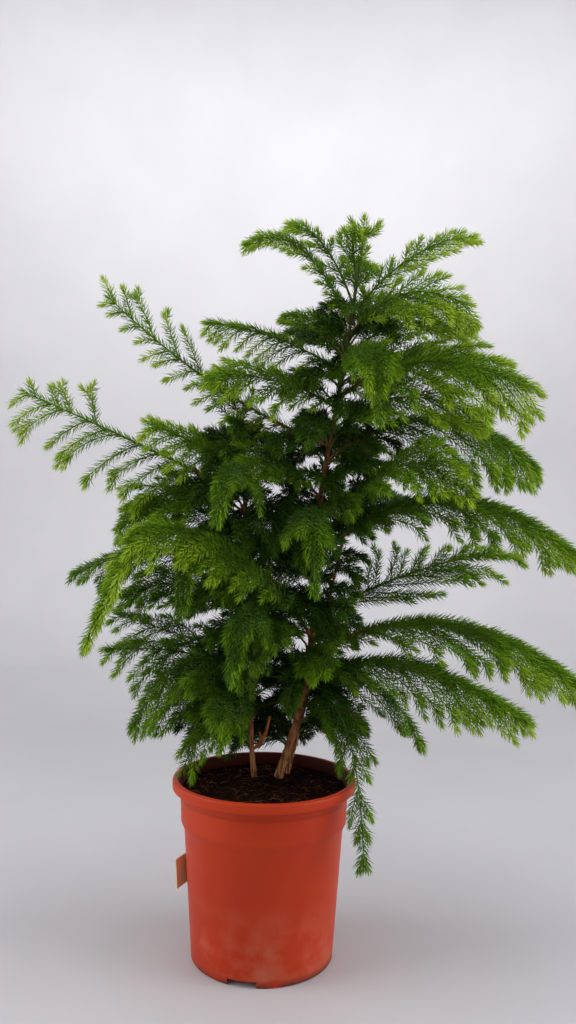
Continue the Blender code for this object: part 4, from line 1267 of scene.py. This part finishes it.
def crumbTree():
    tree, sockets, given = newTree("peat crumbs", {"Size": "Float", "Seed": "Int", "Material": "Material"})
    shape = addNode(tree, "GeometryNodeMeshIcoSphere", {"Subdivisions": 1}, {"Radius": given.outputs["Size"]})
    turn = addNode(tree, "FunctionNodeRandomValue",
                   {"data_type": "FLOAT_VECTOR", 0: (0, 0, 0), 1: (6.3, 6.3, 6.3)},  # radians, a whole turn
                   {"Seed": given.outputs["Seed"]})
    size = addNode(tree, "FunctionNodeRandomValue",
                   {"data_type": "FLOAT_VECTOR", 0: peatPlan["crumbLeast"], 1: peatPlan["crumbMost"]},
                   {"Seed": given.outputs["Seed"]})
    placed = addNode(tree, "GeometryNodeInstanceOnPoints", None, {
        "Points": given.outputs["Geometry"], "Instance": shape.outputs["Mesh"],
        "Rotation": turn.outputs[0], "Scale": size.outputs[0]})
    endTree(tree, placed.outputs[0], given.outputs["Material"])
    return tree, sockets


def peatSpots(count, rng):
    spots = []
    while len(spots) < count:
        radius = (peatPlan["radius"] - peatPlan["crumbEdge"]) * math.sqrt(rng.random())
        angle = rng.uniform(0, 2 * math.pi)
        spots.append((radius * math.cos(angle), radius * math.sin(angle)))
    return spots


def makeCrumbs(name, share, seed, finish):
    plan = peatPlan
    rng = random.Random(seed)
    mesh = bpy.data.meshes.new(name)
    spots = peatSpots(round(plan["crumbs"] * share), rng)
    mesh.from_pydata([(x, y, peatHeight(x, y) + plan["crumbLift"]) for x, y in spots], [], [])
    tree, sockets = crumbTree()
    values = {"Size": plan["crumbSize"], "Seed": seed, "Material": finish}
    made = grown(name, mesh, tree, sockets, values)
    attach(made, root)


def makeFibres(finish, tree, sockets):
    plan = peatPlan
    rng = random.Random(17)
    runs = []
    for x, y in peatSpots(plan["fibres"], rng):
        heading = rng.uniform(0, 2 * math.pi)
        curl = rng.uniform(-plan["fibreCurl"], plan["fibreCurl"])
        length = rng.uniform(*plan["fibreLength"])
        lift = rng.uniform(0.0, plan["fibreLift"])
        steps = plan["fibreSteps"]
        run = []
        for i in range(steps + 1):
            height = peatHeight(x, y) + plan["fibreRest"] + lift * math.sin(math.pi * i / steps)
            thick = plan["fibreRadius"] * rng.uniform(*plan["fibreSwell"])
            run.append((Vector((x, y, height)), thick, 0.0, 0.0))
            heading += curl / steps
            x += math.cos(heading) * length / steps
            y += math.sin(heading) * length / steps
            if math.hypot(x, y) > plan["radius"] - plan["fibreEdge"]:
                break
        if len(run) > 2:
            runs.append(run)
    mesh = skeletonMesh("peat-fibres", runs)
    made = grown("peat-fibres", mesh, tree, sockets, {"Sides": plan["fibreSides"], "Material": finish})
    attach(made, root)


# Card

cardPlan = {
    "width": 0.0600,
    "height": 0.0390,
    "thickness": 0.0008,
    "centreHeight": 0.1055,
    "azimuth": 156,
    "behindContact": 0.0060,
    "clear": 0.0003,  # gap between the card and the pot's wall
    "corner": 0.0020,
    "bow": 0.0006,  # how far the middle of the card bows out
}


def makeCard(finish):
    plan = cardPlan
    wide = plan["width"] / 2
    tall = plan["height"] / 2
    soft = plan["corner"]
    outline = []
    for cx, cz, first in ((wide - soft, tall - soft, 0), (soft - wide, tall - soft, 90),
                          (soft - wide, soft - tall, 180), (wide - soft, soft - tall, 270)):
        outline += arc((cx, cz), soft, first, first + 90, 4)
    bm = bmesh.new()
    bm.faces.new([bm.verts.new((x, 0, z)) for x, z in outline])
    for share in (-0.5, 0.0, 0.5):
        geometry = bm.verts[:] + bm.edges[:] + bm.faces[:]
        bmesh.ops.bisect_plane(bm, geom=geometry, plane_co=(share * wide, 0, 0), plane_no=(1, 0, 0))
    made = bmesh.ops.extrude_face_region(bm, geom=bm.faces[:])
    for vertex in [item for item in made["geom"] if isinstance(item, bmesh.types.BMVert)]:
        vertex.co.y += plan["thickness"]
    for vertex in bm.verts:
        vertex.co.y += plan["bow"] * (1 - (vertex.co.x / wide) ** 2) - plan["thickness"] / 2
    outward = wallRadius(plan["centreHeight"]) + plan["thickness"] / 2 + plan["clear"]
    lean = Matrix.Rotation(-math.atan(wallSlope()), 4, "X")
    place = Matrix.Translation((plan["behindContact"] - wide, outward, plan["centreHeight"]))
    turn = Matrix.Rotation(math.radians(plan["azimuth"] - 90), 4, "Z")
    bm.transform(turn @ place @ lean)
    bmesh.ops.recalc_face_normals(bm, faces=bm.faces)
    card = newObject("card-kraft", meshFrom(bm, "card-kraft"), finish)
    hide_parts("card")
    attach(card, root)


# Studio

studioPlan = {
    "camera": (0.026, -1.206, 0.59),
    "roll": -0.9,  # degrees
    "focal": 900.0,  # pixels
    "imageHeight": 1024,
    "radius": 3.2,  # metres from the pot to the round paper backdrop, which the other views stay inside
    "bend": 0.90,
    "bendSteps": 16,
    "sides": 96,
    "below": 0.0002,  # the paper lies this far under the pot's foot
    "wallHeight": 3.6,
    "paper": ("#cdcccf", "#c8c7ca"),
    "lights": {  # place, target, width and height, watts
        "left": ((-1.9, -0.35, 1.1), (0.0, 0.0, 0.5), (1.4, 1.8), 23),
        "right": ((1.9, -0.35, 1.1), (0.0, 0.0, 0.5), (1.4, 1.8), 25),
        "top": ((0.0, -0.1, 2.6), (0.0, 0.0, 0.5), (2.2, 1.6), 21),
        "wall": ((0.0, 1.3, 3.1), (0.0, 3.2, 1.8), (3.0, 1.0), 34),
        "wall behind": ((0.0, -1.3, 3.1), (0.0, -3.2, 1.8), (3.0, 1.0), 16),
        "wall left": ((-1.3, 0.0, 3.1), (-3.2, 0.0, 1.8), (3.0, 1.0), 13),
        "wall right": ((1.3, 0.0, 3.1), (3.2, 0.0, 1.8), (3.0, 1.0), 13),
    },
    "wallSpread": 120,  # degrees; keeps the lights that face the upright paper off the paper under the pot
    "world": ("#f2f2f4", 0.20),
}


def makeStudio():
    plan = studioPlan
    camera = bpy.data.objects.new("camera", bpy.data.cameras.new("camera"))
    camera.location = plan["camera"]
    camera.rotation_euler = (math.radians(90), math.radians(plan["roll"]), 0)
    camera.data.sensor_width = 36.0
    camera.data.lens = plan["focal"] * camera.data.sensor_width / plan["imageHeight"]
    bpy.context.scene.collection.objects.link(camera)
    bpy.context.scene.camera = camera
    wide, bend = plan["radius"], plan["bend"]
    section = arc((wide - bend, bend), bend, -90, 0, plan["bendSteps"]) + [(wide, plan["wallHeight"])]
    turns = [2 * math.pi * i / plan["sides"] for i in range(plan["sides"])]
    bm = bmesh.new()
    rings = []
    for radius, height in section:
        level = height - plan["below"]
        rings.append([bm.verts.new((radius * math.cos(a), radius * math.sin(a), level)) for a in turns])
    bm.faces.new(rings[0])
    for lower, upper in zip(rings, rings[1:]):
        for i in range(plan["sides"]):
            j = (i + 1) % plan["sides"]
            face = bm.faces.new((lower[i], upper[i], upper[j], lower[j]))
            face.smooth = True
    paper, tree, shader, place = newMaterial("pale studio paper", {"Roughness": 0.9})
    dust = addNode(tree, "ShaderNodeTexNoise", {"Scale": 3.0, "Detail": 4.0}, {"Vector": place})
    first, second = plan["paper"]
    shade = layered(tree, first, [(dust.outputs[0], 0.3, 0.7, second)])
    tree.links.new(shade, shader.inputs["Base Color"])
    newObject("studio-sweep", meshFrom(bm, "studio-sweep"), paper)
    for name, (place, target, size, watts) in plan["lights"].items():
        data = bpy.data.lights.new(name, "AREA")
        data.shape = "RECTANGLE"
        data.size, data.size_y = size
        data.energy = watts
        if name.startswith("wall"):
            data.spread = math.radians(plan["wallSpread"])
        light = bpy.data.objects.new(name, data)
        light.location = place
        light.rotation_euler = (Vector(target) - Vector(place)).to_track_quat("-Z", "Y").to_euler()
        bpy.context.scene.collection.objects.link(light)
    world = bpy.data.worlds.new("studio air")
    world.use_nodes = True
    sky = world.node_tree.nodes["Background"]
    sky.inputs["Color"].default_value = linearColour(plan["world"][0])
    sky.inputs["Strength"].default_value = plan["world"][1]
    bpy.context.scene.world = world
    bpy.context.scene.view_settings.view_transform = "Standard"  # plain colours, as the photograph has


starPlan = {  # whorl of young shoots at each stem's top
    "count": 6,
    "turn": 0.3,  # of the gap between two, before the first
    "reach": 0.025,
    "rise": 8,  # degrees
    "stagger": 9,  # degrees more for every other shoot
    "below": 0.006,  # under the stem's tip
    "radii": (0.0009, 0.0006),
    "bend": (0.35, 0.0, 0.005),  # turn upwards, hang, and distance between its points
    "glow": 0.95,
}
youngPlan = {  # share of each stem without needles of its own
    "stem_main": 0.62,
    "stem_left": 0.78,
    "stem_right": 0.70,
}


def clotheStems(stems):
    # Needles on the young upper reach of each stem
    twigs = []
    for name, share in youngPlan.items():
        points = smoothPath(stems[name]["waypoints"], growthPlan["step"])
        young = points[int(len(points) * share):]
        twigs.append({"points": young, "radii": (0.001, 0.001), "glow": 0.5, "bare": 0.0, "kind": "stem"})
    return twigs


def starTwigs(stems):
    # The whorl of young shoots round each stem's bud
    plan = starPlan
    twigs = []
    for name, stem in stems.items():
        foot, tangent = stemAt(stem, stem["points"][-1].z - plan["below"])
        for i in range(plan["count"]):
            turn = Matrix.Rotation(2 * math.pi * (i + plan["turn"]) / plan["count"], 3, tangent)
            rise = math.radians(plan["rise"] + plan["stagger"] * (i % 2))
            outward = turn @ tangent.cross(Vector((0, 1, 0))).normalized()
            direction = outward * math.cos(rise) + tangent * math.sin(rise)
            start = foot + outward * stem["tip"]
            path = bentTwig(start, direction, tangent, plan["reach"], *plan["bend"])
            twigs.append({"points": path, "radii": plan["radii"], "glow": plan["glow"], "bare": 0.0,
                          "kind": "side"})
    return twigs


def main():
    makeStudio()
    print("studio ready")
    bark = barkMaterial()
    dry = woodMaterial("dry wood", "#c76d30", "#8c4a20")
    shoot = woodMaterial("green shoot", "#48700f", "#54601c")
    peat = peatMaterial("moist peat", "#1a0a05", "#2e160b")
    makePot(potMaterial())
    makePeat(peat)
    makeCrumbs("peat-crumbs", 0.75, 5, peat)
    makeCrumbs("bark-crumbs", 0.25, 9, peatMaterial("bark fines", "#28130a", "#482811"))
    makeCard(cardMaterial())
    print("pot, peat and card ready")
    stems = {}
    for name, plan in stemPlan.items():
        stems[name] = dict(plan, points=smoothPath(plan["waypoints"], growthPlan["knotSpacing"]))
    branches = makeBranches(branchPlan, stems)
    extras = makeBranches(extraPlan, stems) + makeFill(stems)
    for name, stem in stems.items():
        makeStem(name, stem, bark)
    makeBoughs(branches, bark)
    makeStub(stems, dry)
    print("stems and boughs ready")
    space = limbSpace(stems, branches)
    twigs = [twig for branch in branches + extras for twig in growBranch(branch, space)]
    twigs += starTwigs(stems)
    tree, sockets = twigTree()
    makeFibres(woodMaterial("coir fibre", "#5f3415", "#8f5a28"), tree, sockets)
    runs = [twigRun(twig) for twig in twigs]
    wood = grown("twigs", skeletonMesh("twigs", runs), tree, sockets, {"Sides": 5, "Material": shoot})
    wood.data.shade_smooth()
    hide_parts(*needleNodes)
    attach(wood, root)
    print("twigs:", len(twigs), "length", round(sum(runLength(run) for run in runs), 1), "m")
    tree, sockets = needleTree()
    needle = makeNeedle(needlePlan)
    count = 0
    for tone, stretches in dealTones(twigs + clotheStems(stems)).items():
        finish = needleMaterial("waxy needles, " + tone, *needlePlan["tones"][tone])
        for i, part in enumerate(splitRuns(stretches, needlePlan["piece"])):
            if not part:
                continue
            name = f"needles-{tone}-{i + 1}"
            made = grown(name, skeletonMesh(name, part), tree, sockets, {
                "Needle": needle, "Spacing": needlePlan["spacing"], "Length": needlePlan["length"],
                "Seed": i + 3, "Material": finish})
            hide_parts(*needleNodes)
            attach(made, root)
            count += len(made.data.polygons)
            print(name, len(made.data.polygons), "faces")
    bpy.data.objects.remove(needle)
    print("needles ready:", count, "faces")


main()
